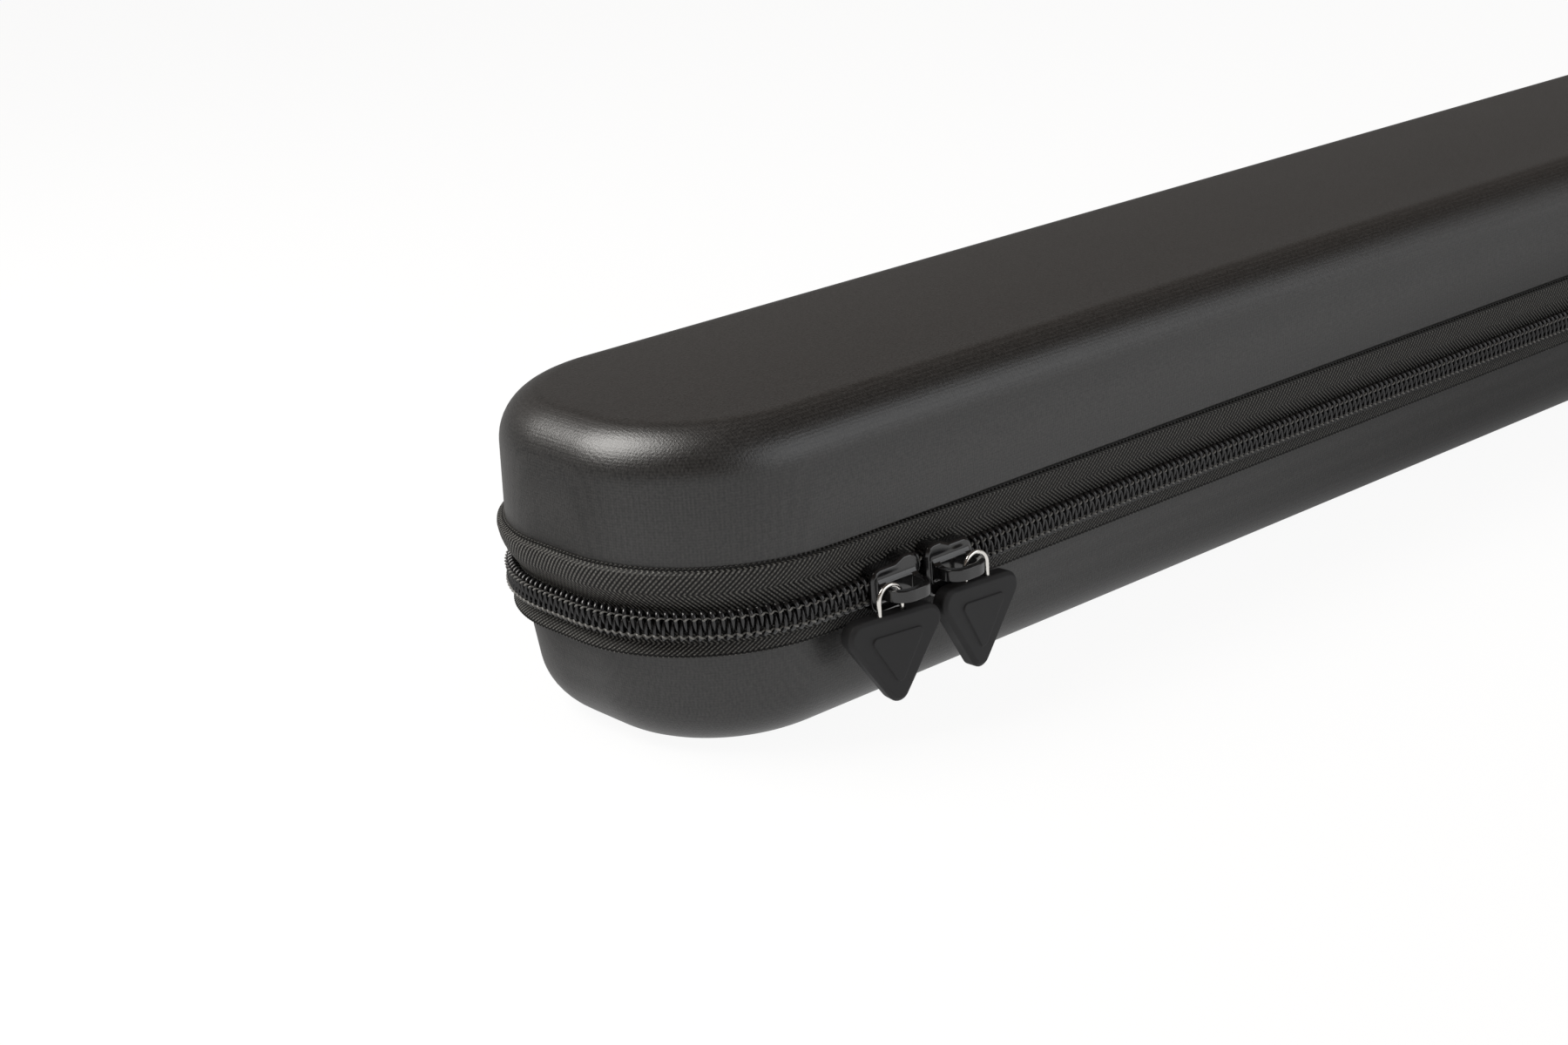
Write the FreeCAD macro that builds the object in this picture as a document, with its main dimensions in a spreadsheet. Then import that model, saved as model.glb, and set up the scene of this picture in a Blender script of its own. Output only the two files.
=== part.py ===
"""A hard-shell cue case: two moulded foam shells, joined by a fabric hinge at the back and a zip with two
sliders round the ends and the front, and a foam cradle for a cue in two halves inside.

Millimetres. +X runs along the case, +Z is up, the zip's sliders are at the front (-Y) and the hinge is at the
back (+Y). The origin is the middle of the flat underside.
"""

import FreeCAD
import Part
import Sketcher
import math
import os

V = FreeCAD.Vector

# ---------------------------------------------------------------------------------------------------------------
# Driving dimensions
# ---------------------------------------------------------------------------------------------------------------

SIZES = [
    # outer form of the two shells
    ("case_length", 840.0),
    ("lid_width", 91.0),
    ("corner_radius", 39.0),
    ("case_height", 74.6),
    ("lid_rim", 44.6),
    ("base_rim", 25.2),
    ("base_inset", 3.0),
    ("lid_draft", 2.2),
    ("base_draft", 7.0),
    ("lid_edge_radius", 11.7),
    ("base_edge_radius", 13.6),
    ("shell_wall", 4.5),
    # fabric inside and round the rims
    ("lining_thickness", 0.8),
    ("skin_gap", 0.05),
    ("band_thickness", 2.2),
    ("band_height", 5.0),
    ("binding_thickness", 0.6),
    ("binding_width", 3.4),
    # zip
    ("tape_thickness", 0.8),
    ("tape_under_rim", 0.4),
    ("tape_seam", 6.5),
    ("zip_level", 32.8),
    ("chain_width", 7.2),
    ("coil_depth", 2.7),
    ("coil_split", 0.3),
    ("zip_end", 360.0),
    ("stop_length", 4.0),
    ("stop_wall", 0.8),
    ("tab_length", 18.0),
    # sliders
    ("near_slider_at", -365.8),
    ("far_slider_at", -349.6),
    ("slider_length", 14.0),
    ("slider_wide", 12.4),
    ("slider_narrow", 10.2),
    ("slider_shoulder", 2.5),
    ("slider_corner", 2.8),
    ("slider_edge", 0.6),
    ("slider_plate", 1.5),
    ("slider_clearance", 0.25),
    ("wedge_width", 2.4),
    ("wedge_tip", 0.7),
    ("wedge_shoulder", 3.2),
    ("eye_reach", 3.5),
    ("cut_past", 1.0),
    ("lug_length", 11.4),
    ("lug_reach", 7.5),
    ("lug_thickness", 2.7),
    ("lug_band", 1.8),
    ("lug_corner", 4.5),
    ("lug_land", 0.8),
    ("lug_root", 0.5),
    ("lug_flare", 2.2),
    # pulls
    ("wire_thickness", 1.2),
    ("wire_spread", 6.6),
    ("wire_bury", 5.0),
    ("tag_width", 24.0),
    ("tag_height", 20.4),
    ("tag_thickness", 4.0),
    ("tag_drop", 6.2),
    ("tag_corner", 3.6),
    ("tag_tip", 2.8),
    ("tag_edge", 0.9),
    ("panel_width", 12.8),
    ("panel_height", 11.2),
    ("panel_drop", 4.0),
    ("panel_corner", 1.2),
    ("panel_rise", 0.5),
    # foam
    ("bed_top", 31.0),
    ("bed_floor", 5.0),
    ("foam_play", 0.1),
    ("channel_length", 756.0),
    ("butt_channel", 32.0),
    ("shaft_channel", 22.0),
    ("front_wall", 7.6),
    ("divider", 5.0),
    ("scoop_radius", 26.0),
    ("scoop_depth", 17.0),
    ("scoop_spacing", 380.0),
    ("pad_bottom", 47.0),
]

doc = FreeCAD.newDocument("cue_case")
sheet = doc.addObject("Spreadsheet::Sheet", "Sizes")
for row, (alias, size) in enumerate(SIZES, start=1):
    sheet.set(f"A{row}", alias)
    sheet.set(f"B{row}", str(size))
    sheet.setAlias(f"B{row}", alias)
doc.recompute()


def number(formula):
    """The present value of a formula in the sheet's names."""
    return float(sheet.evalExpression(bound(formula)))


def bound(formula):
    """A formula with each size's name written as a reference to its cell."""
    words = []
    word = ""
    for letter in formula + " ":
        if letter.isalnum() or letter in "_.":
            word += letter
            continue
        words.append(f"Sizes.{word}" if word in NAMES else word)
        words.append(letter)
        word = ""
    return "".join(words).strip()


NAMES = {alias for alias, _ in SIZES}


def bind(thing, prop, formula):
    """Ties a property or a constraint to the sheet."""
    thing.setExpression(prop, bound(formula))


# ---------------------------------------------------------------------------------------------------------------
# Tools for bodies and sketches
# ---------------------------------------------------------------------------------------------------------------


def new_body(label):
    body = doc.addObject("PartDesign::Body", label)
    body.Label = label
    return body


def plane(body, role):
    return next(f for f in body.Origin.OriginFeatures if f.Role == role)


def new_sketch(body, name, role, away="0"):
    """A sketch on one of the body's own origin planes, or at a distance from it along the plane's normal."""
    sketch = body.newObject("Sketcher::SketchObject", f"{body.Name}_{name}")
    sketch.AttachmentSupport = [(plane(body, role), "")]
    sketch.MapMode = "FlatFace"
    bind(sketch, "AttachmentOffset.Base.z", away)
    return sketch


def size_constraint(sketch, name, formula, *form):
    """A named dimension, started at its present value and tied to the sheet."""
    sketch.addConstraint(Sketcher.Constraint(*form, number(formula)))
    sketch.renameConstraint(sketch.ConstraintCount - 1, name)
    bind(sketch, f"Constraints.{name}", formula)


def add_outline(sketch, tag, length, width, radius):
    """A rounded rectangle about the sketch's origin: four lines, four tangent arcs."""
    x, y, r = number(length) / 2, number(width) / 2, number(radius)
    first = sketch.GeometryCount
    corners = [(x - r, -y + r, -90), (x - r, y - r, 0), (-x + r, y - r, 90), (-x + r, -y + r, 180)]
    lines = [
        (V(-x + r, -y, 0), V(x - r, -y, 0)),
        (V(x, -y + r, 0), V(x, y - r, 0)),
        (V(x - r, y, 0), V(-x + r, y, 0)),
        (V(-x, y - r, 0), V(-x, -y + r, 0)),
    ]
    for (start, end), (cx, cy, angle) in zip(lines, corners):
        sketch.addGeometry(Part.LineSegment(start, end), False)
        circle = Part.Circle(V(cx, cy, 0), V(0, 0, 1), r)
        low, high = math.radians(angle), math.radians(angle + 90)
        sketch.addGeometry(Part.ArcOfCircle(circle, low, high), False)
    for n in range(8):
        sketch.addConstraint(Sketcher.Constraint("Tangent", first + n, 2, first + (n + 1) % 8, 1))
    for n in (0, 4):
        sketch.addConstraint(Sketcher.Constraint("Horizontal", first + n))
        sketch.addConstraint(Sketcher.Constraint("Vertical", first + n + 2))
    for n in (1, 3, 5):
        sketch.addConstraint(Sketcher.Constraint("Equal", first + n, first + n + 2))
    sketch.addConstraint(Sketcher.Constraint("Symmetric", first + 1, 3, first + 5, 3, -1, 1))
    size_constraint(sketch, f"{tag}_radius", radius, "Radius", first + 1)
    size_constraint(sketch, f"{tag}_length", length, "DistanceX", first + 6, 1, first + 2, 1)
    size_constraint(sketch, f"{tag}_width", width, "DistanceY", first, 1, first + 4, 1)


def inset_outline(sketch, tag, inset):
    """The lid's outline, drawn in by an inset, with its corners drawn in as much."""
    add_outline(
        sketch,
        tag,
        f"case_length - 2 * ({inset})",
        f"lid_width - 2 * ({inset})",
        f"corner_radius - ({inset})",
    )


FOAM_CUTS = 5


def foam_outline(sketch, tag, inset):
    """The outline drawn in by an inset, with each corner taken off in a few straight cuts of the foam knife."""
    points = []
    for n, (x, y) in enumerate((("", ""), ("-", ""), ("-", "-"), ("", "-"))):
        for cut in range(FOAM_CUTS + 1):
            angle = f"{90 * (n + cut / FOAM_CUTS)} * 1deg"
            points.append((f"{x}(case_length / 2 - corner_radius) + (corner_radius - ({inset})) * cos({angle})",
                           f"{y}(lid_width / 2 - corner_radius) + (corner_radius - ({inset})) * sin({angle})"))
    add_polygon(sketch, tag, points)


def add_polygon(sketch, tag, points):
    """A closed polygon whose corners are pairs of formulas, each tied to the sheet."""
    spots = [V(number(x), number(y), 0) for x, y in points]
    first = sketch.GeometryCount
    count = len(spots)
    for n in range(count):
        sketch.addGeometry(Part.LineSegment(spots[n], spots[(n + 1) % count]), False)
    for n in range(count):
        sketch.addConstraint(Sketcher.Constraint("Coincident", first + n, 2, first + (n + 1) % count, 1))
    for n, (x, y) in enumerate(points):
        size_constraint(sketch, f"{tag}_x{n}", x, "DistanceX", -1, 1, first + n, 1)
        size_constraint(sketch, f"{tag}_y{n}", y, "DistanceY", -1, 1, first + n, 1)


def pad(body, name, sketch, length, down=False, both=False):
    feature = body.newObject("PartDesign::Pad", f"{body.Name}_{name}")
    feature.Profile = sketch
    bind(feature, "Length", length)
    feature.Reversed = down
    feature.Midplane = both
    sketch.Visibility = False
    doc.recompute()
    return feature


def pocket(body, name, sketch, length, down=False, both=False):
    before = body.Tip.Shape.Volume
    feature = body.newObject("PartDesign::Pocket", f"{body.Name}_{name}")
    feature.Profile = sketch
    bind(feature, "Length", length)
    feature.Reversed = down
    feature.Midplane = both
    sketch.Visibility = False
    doc.recompute()
    if not feature.Shape.Volume < before - 1e-3:
        raise RuntimeError(f"{feature.Name} cuts nothing")
    return feature


def dress(body, kind, name, base, wanted, prop, size):
    """Rounds or chamfers the edges of a feature that pass a test."""
    edges = [f"Edge{n}" for n, edge in enumerate(base.Shape.Edges, start=1) if wanted(edge)]
    feature = body.newObject(f"PartDesign::{kind}", f"{body.Name}_{name}")
    feature.Base = (base, edges)
    bind(feature, prop, size)
    doc.recompute()
    return feature


def fillet(body, name, base, wanted, radius):
    return dress(body, "Fillet", name, base, wanted, "Radius", radius)


def chamfer(body, name, base, wanted, size):
    return dress(body, "Chamfer", name, base, wanted, "Size", size)


def draft(body, name, base, level, angle, down):
    """Leans the sides of a block inwards, away from its flat face at a level, which keeps its size."""
    sides = [f"Face{n}" for n, face in enumerate(base.Shape.Faces, start=1) if face.BoundBox.ZLength > 1e-4]
    feature = body.newObject("PartDesign::Draft", f"{body.Name}_{name}")
    feature.Base = (base, sides)
    feature.NeutralPlane = (base, [face_at(base, level)])
    feature.Reversed = down
    bind(feature, "Angle", angle)
    doc.recompute()
    return feature


def face_at(base, level):
    """The name of a feature's flat face at a height."""
    flat = at_level(number(level))
    return next(f"Face{n}" for n, face in enumerate(base.Shape.Faces, start=1) if flat(face))


def at_level(level):
    """A test for edges and faces that lie flat at a height."""
    return lambda s: abs(s.BoundBox.ZMin - level) < 1e-4 and abs(s.BoundBox.ZMax - level) < 1e-4


# ---------------------------------------------------------------------------------------------------------------
# Moulded shells, their linings and the foam
# ---------------------------------------------------------------------------------------------------------------

# What lies inside a drafted wall stands in by this much where it is cut level.
LID_SKIN = "(shell_wall + skin_gap) / cos(lid_draft * 1deg)"
BASE_SKIN = "(shell_wall + skin_gap) / cos(base_draft * 1deg)"


def tub(label, inset, rim, depth, angle, down, rounded=None, cut=None, wall=None, outline_of=inset_outline):
    """A drafted tub with rounded corners, its floor edge rounded or cut off, and hollow if it has a wall."""
    body = new_body(label)
    outline = new_sketch(body, "outline", "XY_Plane", rim)
    outline_of(outline, "rim", inset)
    block = pad(body, "block", outline, depth, down=down)
    block = draft(body, "draft", block, rim, angle, down)
    way = "-" if down else "+"
    floor = at_level(number(f"{rim} {way} ({depth})"))
    if rounded:
        block = fillet(body, "floor_edge", block, floor, rounded)
    if cut:
        block = chamfer(body, "floor_edge", block, floor, cut)
    if wall:
        hollow = body.newObject("PartDesign::Thickness", f"{label}_wall")
        hollow.Base = (block, [face_at(block, rim)])
        hollow.Join = "Intersection"
        hollow.Reversed = True
        bind(hollow, "Value", wall)
        doc.recompute()
    return body


def moulded(label, inset, rim, depth, angle, down, rounded):
    """A shell as its mould makes it: the cavity's rounded form, less the core that the lining lies on."""
    form = tub(f"{label}_form", inset, rim, depth, angle, down, rounded=rounded)
    core = tub(f"{label}_core", f"{inset} + shell_wall / cos({angle} * 1deg)", rim, f"{depth} - shell_wall",
               angle, down, cut=f"{rounded} - shell_wall")
    return boolean("Cut", label, form, core)


def boolean(kind, label, base, tool):
    shape = doc.addObject(f"Part::{kind}", label)
    shape.Label = label
    shape.Base = base
    shape.Tool = tool
    doc.recompute()
    return shape


def base_shell():
    """The lower half: a deep tray whose rim stands in from the lid's."""
    return moulded("base_shell", "base_inset", "base_rim", "base_rim", "base_draft", True,
                   "base_edge_radius")


def lid_shell():
    """The upper half, a shallower tray, mouth down."""
    return moulded("lid_shell", "0", "lid_rim", "case_height - lid_rim", "lid_draft", False,
                   "lid_edge_radius")


def rim_band():
    """The stiff band set below the lid's rim, which the zip's upper tape and the hinge are sewn to."""
    body = new_body("rim_band")
    band(body, "ring", "tape_thickness", "tape_thickness + band_thickness", "lid_rim - band_height",
         "lid_rim")
    return body


def base_lining():
    """The cloth in the base. It cuts across the rounded floor edge."""
    return tub("base_lining", f"base_inset + {BASE_SKIN}", "base_rim", "base_rim - shell_wall - skin_gap",
               "base_draft", down=True, cut="base_edge_radius - shell_wall", wall="lining_thickness")


def lid_lining():
    return tub("lid_lining", LID_SKIN, "lid_rim", "case_height - lid_rim - shell_wall - skin_gap",
               "lid_draft", down=False, cut="lid_edge_radius - shell_wall", wall="lining_thickness")


# The foam stands in from the shells' outsides by the wall, the lining and some play.
SKINS = "(shell_wall + skin_gap + lining_thickness + foam_play)"


BED_INSET = f"(base_inset + {SKINS} / cos(base_draft * 1deg))"
BED_SIDE = f"(lid_width / 2 - {BED_INSET})"
BED_FLOOR = f"({SKINS} + bed_floor)"


def bed_form():
    """The whole space that the foam bed fills: drafted with the base up to its rim, and straight above."""
    body = tub("bed_form", BED_INSET, "base_rim", f"base_rim - {SKINS}", "base_draft", down=True,
               cut="base_edge_radius - shell_wall")
    upper = new_sketch(body, "upper_outline", "XY_Plane", "base_rim")
    inset_outline(upper, "upper", BED_INSET)
    pad(body, "upper", upper, "bed_top - base_rim")
    return body


def foam_blank(label, walls, low, high):
    """A square-cut length of foam between its limits along X, its limits along Y and two levels."""
    body = new_body(label)
    face = new_sketch(body, "face", "XY_Plane", low)
    add_rectangle(face, "sides", *walls)
    pad(body, "block", face, f"{high} - {low}")
    return body


def end_block(label, inner, outer):
    """The foam that closes the channels' ends, cut square in height to stand inside the leaning wall."""
    body = new_body(label)
    outline = new_sketch(body, "outline", "XY_Plane", BED_FLOOR)
    foam_outline(outline, "block", f"{BED_INSET} + (base_rim - {BED_FLOOR}) * tan(base_draft * 1deg)")
    block = pad(body, "block", outline, f"bed_top - {BED_FLOOR}")
    block = chamfer(body, "lower_edge", block, at_level(number(BED_FLOOR)),
                    "base_edge_radius - shell_wall - bed_floor")
    window = new_sketch(body, "window", "XY_Plane")
    add_rectangle(window, "rest", (inner, outer), ("-lid_width", "lid_width"))
    pocket(body, "rest", window, "2 * case_height", both=True)
    return body


def add_rectangle(sketch, tag, x, y):
    add_polygon(sketch, tag, [(x[0], y[0]), (x[1], y[0]), (x[1], y[1]), (x[0], y[1])])


def foam_bed():
    """A floor slab, three long walls and two end blocks, which leave a channel for each half of the cue."""
    half = "channel_length / 2"
    end, side = "case_length / 2", "lid_width / 2"
    along = (f"-{half}", half)
    butt = f"-{BED_SIDE} + front_wall"
    middle = f"{butt} + butt_channel"
    shaft = f"{middle} + divider"
    back = f"{shaft} + shaft_channel"
    form = bed_form()
    blanks = [
        foam_blank("floor_blank", ((f"-{end}", end), (f"-{side}", side)), "0", BED_FLOOR),
        foam_blank("front_blank", (along, (f"-{side}", butt)), BED_FLOOR, "bed_top"),
        foam_blank("divider_blank", (along, (middle, shaft)), BED_FLOOR, "bed_top"),
        foam_blank("back_blank", (along, (back, side)), BED_FLOOR, "bed_top"),
    ]
    for name, sign in (("near", "-"), ("far", "")):
        scoop = new_sketch(blanks[2], f"{name}_scoop", "XZ_Plane")
        add_circle(scoop, name, f"{sign}scoop_spacing / 2", "bed_top - scoop_depth + scoop_radius",
                   "scoop_radius")
        pocket(blanks[2], f"{name}_scoop_cut", scoop, "lid_width", both=True)
    labels = ("bed_floor_slab", "bed_front_wall", "bed_divider", "bed_back_wall")
    pieces = [boolean("Common", label, form, blank) for label, blank in zip(labels, blanks)]
    return pieces + [
        end_block("bed_near_block", f"-{half}", "case_length"),
        end_block("bed_far_block", "-case_length", half),
    ]


def add_circle(sketch, tag, x, y, radius):
    centre = V(number(x), number(y), 0)
    first = sketch.GeometryCount
    sketch.addGeometry(Part.Circle(centre, V(0, 0, 1), number(radius)), False)
    size_constraint(sketch, f"{tag}_radius", radius, "Radius", first)
    size_constraint(sketch, f"{tag}_x", x, "DistanceX", -1, 1, first, 3)
    size_constraint(sketch, f"{tag}_y", y, "DistanceY", -1, 1, first, 3)


def lid_pad():
    """The foam slab in the lid that keeps the cue down in its channels."""
    inset = f"{SKINS} / cos(lid_draft * 1deg) + (pad_bottom - lid_rim) * tan(lid_draft * 1deg)"
    return tub("lid_pad", inset, "pad_bottom", f"case_height - {SKINS} - pad_bottom", "lid_draft",
               down=False, cut="lid_edge_radius - shell_wall", outline_of=foam_outline)


# ---------------------------------------------------------------------------------------------------------------
# Zip, hinge and bindings
# ---------------------------------------------------------------------------------------------------------------

TAPE_TOP = "lid_rim - tape_under_rim"
SEAM_TOP = "base_rim + tape_thickness"


def open_at_back(body, name, reach="zip_end"):
    """Takes away the stretch along the back, where the hinge is."""
    window = new_sketch(body, f"{name}_window", "XY_Plane")
    add_polygon(window, "back", [(f"-({reach})", "0"), (reach, "0"), (reach, "lid_width"),
                                 (f"-({reach})", "lid_width")])
    pocket(body, name, window, "2 * case_height", both=True)


def band(body, name, out, inside, low, high):
    """A flat strip that stands on edge and runs round the case."""
    ring = new_sketch(body, f"{name}_ring", "XY_Plane", low)
    inset_outline(ring, "out", out)
    inset_outline(ring, "in", inside)
    return pad(body, name, ring, f"{high} - ({low})")


def slit(body):
    """Parts a coil and its tape's edge round the wedges of the two sliders."""
    half = "((wedge_width - coil_split) / 2 + slider_clearance)"
    eye = new_sketch(body, "eye", "XZ_Plane")
    near, far = "near_slider_at", "far_slider_at"
    add_polygon(eye, "eye", [
        (f"{near} - eye_reach", "zip_level"),
        (f"{near} + eye_reach", f"zip_level - coil_split / 2 - {half}"),
        (f"{far} - eye_reach", f"zip_level - coil_split / 2 - {half}"),
        (f"{far} + eye_reach", "zip_level"),
        (f"{far} - eye_reach", f"zip_level + coil_split / 2 + {half}"),
        (f"{near} + eye_reach", f"zip_level + coil_split / 2 + {half}"),
    ])
    pocket(body, "eye_slit", eye, "lid_width", down=True)


def upper_zip_tape():
    body = new_body("upper_zip_tape")
    band(body, "strip", "0", "tape_thickness", "zip_level + coil_split / 2", TAPE_TOP)
    open_at_back(body, "opening")
    slit(body)
    return body


def lower_zip_tape():
    """The lower tape stands under its coil and is turned in over the base's rim, where it is sewn."""
    body = new_body("lower_zip_tape")
    band(body, "strip", "0", "tape_thickness", "base_rim", "zip_level - coil_split / 2")
    band(body, "seam", "tape_thickness / 2", "tape_seam", "base_rim", SEAM_TOP)
    open_at_back(body, "opening")
    slit(body)
    return body


def coil(label, low, high):
    """Half the chain: a plain bar that stands for the turns of the coil."""
    body = new_body(label)
    band(body, "bar", "-coil_depth", "0", low, high)
    open_at_back(body, "opening")
    slit(body)
    return body


def zip_stop(label, sign):
    """The metal clip that closes the chain at its end, with a cheek above and below the coils."""
    body = new_body(label)
    section = new_sketch(body, "section", "YZ_Plane", f"{sign}(zip_end + stop_length)")
    back, play = "lid_width / 2", "slider_clearance"
    out = f"{back} + coil_depth + {play}"
    reach = f"chain_width / 2 + {play}"
    add_polygon(section, "clip", [
        (back, f"zip_level + {reach}"),
        (out, f"zip_level + {reach}"),
        (out, f"zip_level - ({reach})"),
        (back, f"zip_level - ({reach})"),
        (back, f"zip_level - ({reach}) - stop_wall"),
        (f"{out} + stop_wall", f"zip_level - ({reach}) - stop_wall"),
        (f"{out} + stop_wall", f"zip_level + {reach} + stop_wall"),
        (back, f"zip_level + {reach} + stop_wall"),
    ])
    pad(body, "clip", section, "stop_length", both=True)
    return body


def hinge_strip():
    """The fabric along the back that the lid turns on: sewn to the lid's flange and over the base's rim."""
    body = new_body("hinge_strip")
    section = new_sketch(body, "section", "YZ_Plane")
    out = "lid_width / 2"
    add_polygon(section, "strip", [
        (out, TAPE_TOP),
        (out, "base_rim"),
        (f"{out} - tape_seam", "base_rim"),
        (f"{out} - tape_seam", SEAM_TOP),
        (f"{out} - tape_thickness", SEAM_TOP),
        (f"{out} - tape_thickness", TAPE_TOP),
    ])
    pad(body, "strip", section, "2 * (zip_end - skin_gap)", both=True)
    return body


def hinge_lining():
    """The strip inside the hinge, from the lid's lining down to the binding on the base's rim."""
    body = new_body("hinge_lining")
    section = new_sketch(body, "section", "YZ_Plane")
    out = "lid_width / 2 - tape_thickness - band_thickness - 2 * binding_thickness - 4 * skin_gap"
    low = f"{SEAM_TOP} + binding_thickness + 2 * skin_gap"
    high = "lid_rim - 2 * skin_gap"
    add_polygon(section, "strip", [
        (out, low),
        (f"{out} - lining_thickness", low),
        (f"{out} - lining_thickness", high),
        (out, high),
    ])
    pad(body, "strip", section, "2 * zip_end", both=True)
    return body


def end_tab(label, sign):
    """The fabric tab sewn over the place where the zip's tapes end and the hinge begins."""
    body = new_body(label)
    face = new_sketch(body, "face", "XZ_Plane", "-(lid_width / 2 + skin_gap)")
    low, high = "base_rim + tape_thickness", TAPE_TOP
    inner = f"{sign}(zip_end - tab_length)"
    outer = f"{sign}(zip_end - slider_clearance)"
    add_polygon(face, "tab", [(inner, low), (outer, low), (outer, high), (inner, high)])
    pad(body, "tab", face, "tape_thickness", down=True)
    return body


def base_binding():
    """The ribbon sewn over the inner edge of the base's rim."""
    body = new_body("base_binding")
    inner = "base_inset + (shell_wall + skin_gap + lining_thickness) / cos(base_draft * 1deg)"
    band(body, "ribbon", f"{inner} - binding_width", inner, f"{SEAM_TOP} + skin_gap",
         f"{SEAM_TOP} + skin_gap + binding_thickness")
    return body


def lid_binding():
    """The ribbon sewn inside the lid's flange."""
    body = new_body("lid_binding")
    out = "tape_thickness + band_thickness + skin_gap"
    band(body, "ribbon", out, f"{out} + binding_thickness", "lid_rim - band_height", "lid_rim - skin_gap")
    return body


# ---------------------------------------------------------------------------------------------------------------
# Sliders and pulls
# ---------------------------------------------------------------------------------------------------------------

FRONT = "lid_width / 2"
CHANNEL_BACK = f"{FRONT} - tape_thickness - slider_clearance"
CHANNEL_FRONT = f"{FRONT} + coil_depth + slider_clearance"
SLIDER_BACK = f"{CHANNEL_BACK} - slider_plate"
SLIDER_FRONT = f"{CHANNEL_FRONT} + slider_plate"


def slider_body(label, at, wide):
    """A die-cast slider: two plates joined by the wedge that parts the coils, and the lug for its pull.

    wide is +1 or -1, the way along X that its wide end faces.
    """
    body = new_body(label)
    sign = "" if wide > 0 else "-"
    half = "slider_length / 2"
    face = new_sketch(body, "face", "XZ_Plane", SLIDER_BACK)
    add_polygon(face, "face", [
        (f"{at} - {sign}{half}", "zip_level - slider_narrow / 2"),
        (at, "zip_level - slider_narrow / 2"),
        (f"{at} + {sign}slider_shoulder", "zip_level - slider_wide / 2"),
        (f"{at} + {sign}{half}", "zip_level - slider_wide / 2"),
        (f"{at} + {sign}{half}", "zip_level + slider_wide / 2"),
        (f"{at} + {sign}slider_shoulder", "zip_level + slider_wide / 2"),
        (at, "zip_level + slider_narrow / 2"),
        (f"{at} - {sign}{half}", "zip_level + slider_narrow / 2"),
    ])
    block = pad(body, "block", face, f"{SLIDER_FRONT} - ({SLIDER_BACK})")
    middle, reach, front = number(at), number(half), -number(SLIDER_FRONT)
    block = fillet(body, "corners", block, lambda e: e.BoundBox.YLength > 1
                   and abs(abs(e.BoundBox.Center.x - middle) - reach) < 1e-4, "slider_corner")
    chamfer(body, "front_edge", block, lambda e: e.BoundBox.YLength < 1e-4
           and abs(e.BoundBox.YMin - front) < 1e-4, "slider_edge")

    # the channel that the coils run in: one way in at the narrow end, two round the wedge at the wide end
    narrow = "chain_width / 2 + slider_clearance"
    split = "chain_width / 2 + wedge_width / 2 - coil_split / 2 + slider_clearance"
    beyond = f"({half} + cut_past)"
    wedge = [
        (f"{at} + {sign}{beyond}", "zip_level - wedge_width / 2"),
        (f"{at} + {sign}wedge_shoulder", "zip_level - wedge_width / 2"),
        (f"{at} - {sign}wedge_tip", "zip_level"),
        (f"{at} + {sign}wedge_shoulder", "zip_level + wedge_width / 2"),
        (f"{at} + {sign}{beyond}", "zip_level + wedge_width / 2"),
    ]
    run = new_sketch(body, "run", "XZ_Plane", CHANNEL_BACK)
    add_polygon(run, "run", [
        (f"{at} - {sign}{beyond}", f"zip_level - ({narrow})"),
        (at, f"zip_level - ({narrow})"),
        (f"{at} + {sign}slider_shoulder", f"zip_level - ({split})"),
        (f"{at} + {sign}{beyond}", f"zip_level - ({split})"),
        *wedge,
        (f"{at} + {sign}{beyond}", f"zip_level + {split}"),
        (f"{at} + {sign}slider_shoulder", f"zip_level + {split}"),
        (at, f"zip_level + {narrow}"),
        (f"{at} - {sign}{beyond}", f"zip_level + {narrow}"),
    ])
    pocket(body, "channel", run, f"{CHANNEL_FRONT} - ({CHANNEL_BACK})", down=True)

    # the slot under the side flanges that the tapes leave through
    tapes = new_sketch(body, "tapes", "XZ_Plane", CHANNEL_BACK)
    add_polygon(tapes, "tapes", [
        (f"{at} - {sign}{beyond}", "zip_level - slider_wide"),
        (f"{at} + {sign}{beyond}", "zip_level - slider_wide"),
        *wedge,
        (f"{at} + {sign}{beyond}", "zip_level + slider_wide"),
        (f"{at} - {sign}{beyond}", "zip_level + slider_wide"),
    ])
    pocket(body, "tape_slot", tapes, "tape_thickness + 2 * slider_clearance", down=True)

    # the bridge: a strap that loops out over the plate and flares at its two roots; the pull's wire goes
    # through it
    bridge = new_sketch(body, "bridge", "XY_Plane", "zip_level")
    add_strap(bridge, "outside", at, "lug_length", "lug_reach", "lug_corner", "lug_root")
    add_strap(bridge, "inside", at, "lug_length - 2 * lug_band", "lug_reach - lug_band",
              "lug_corner - lug_band", "-lug_land")
    pad(body, "bridge", bridge, "lug_thickness + 2 * lug_flare", both=True)
    for name, way in (("upper", 1), ("lower", -1)):
        flank = new_sketch(body, f"{name}_flank", "YZ_Plane", at)
        add_flank(flank, name, way)
        pocket(body, f"{name}_flare", flank, "lug_length + 2 * cut_past", both=True)
    return body


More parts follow.
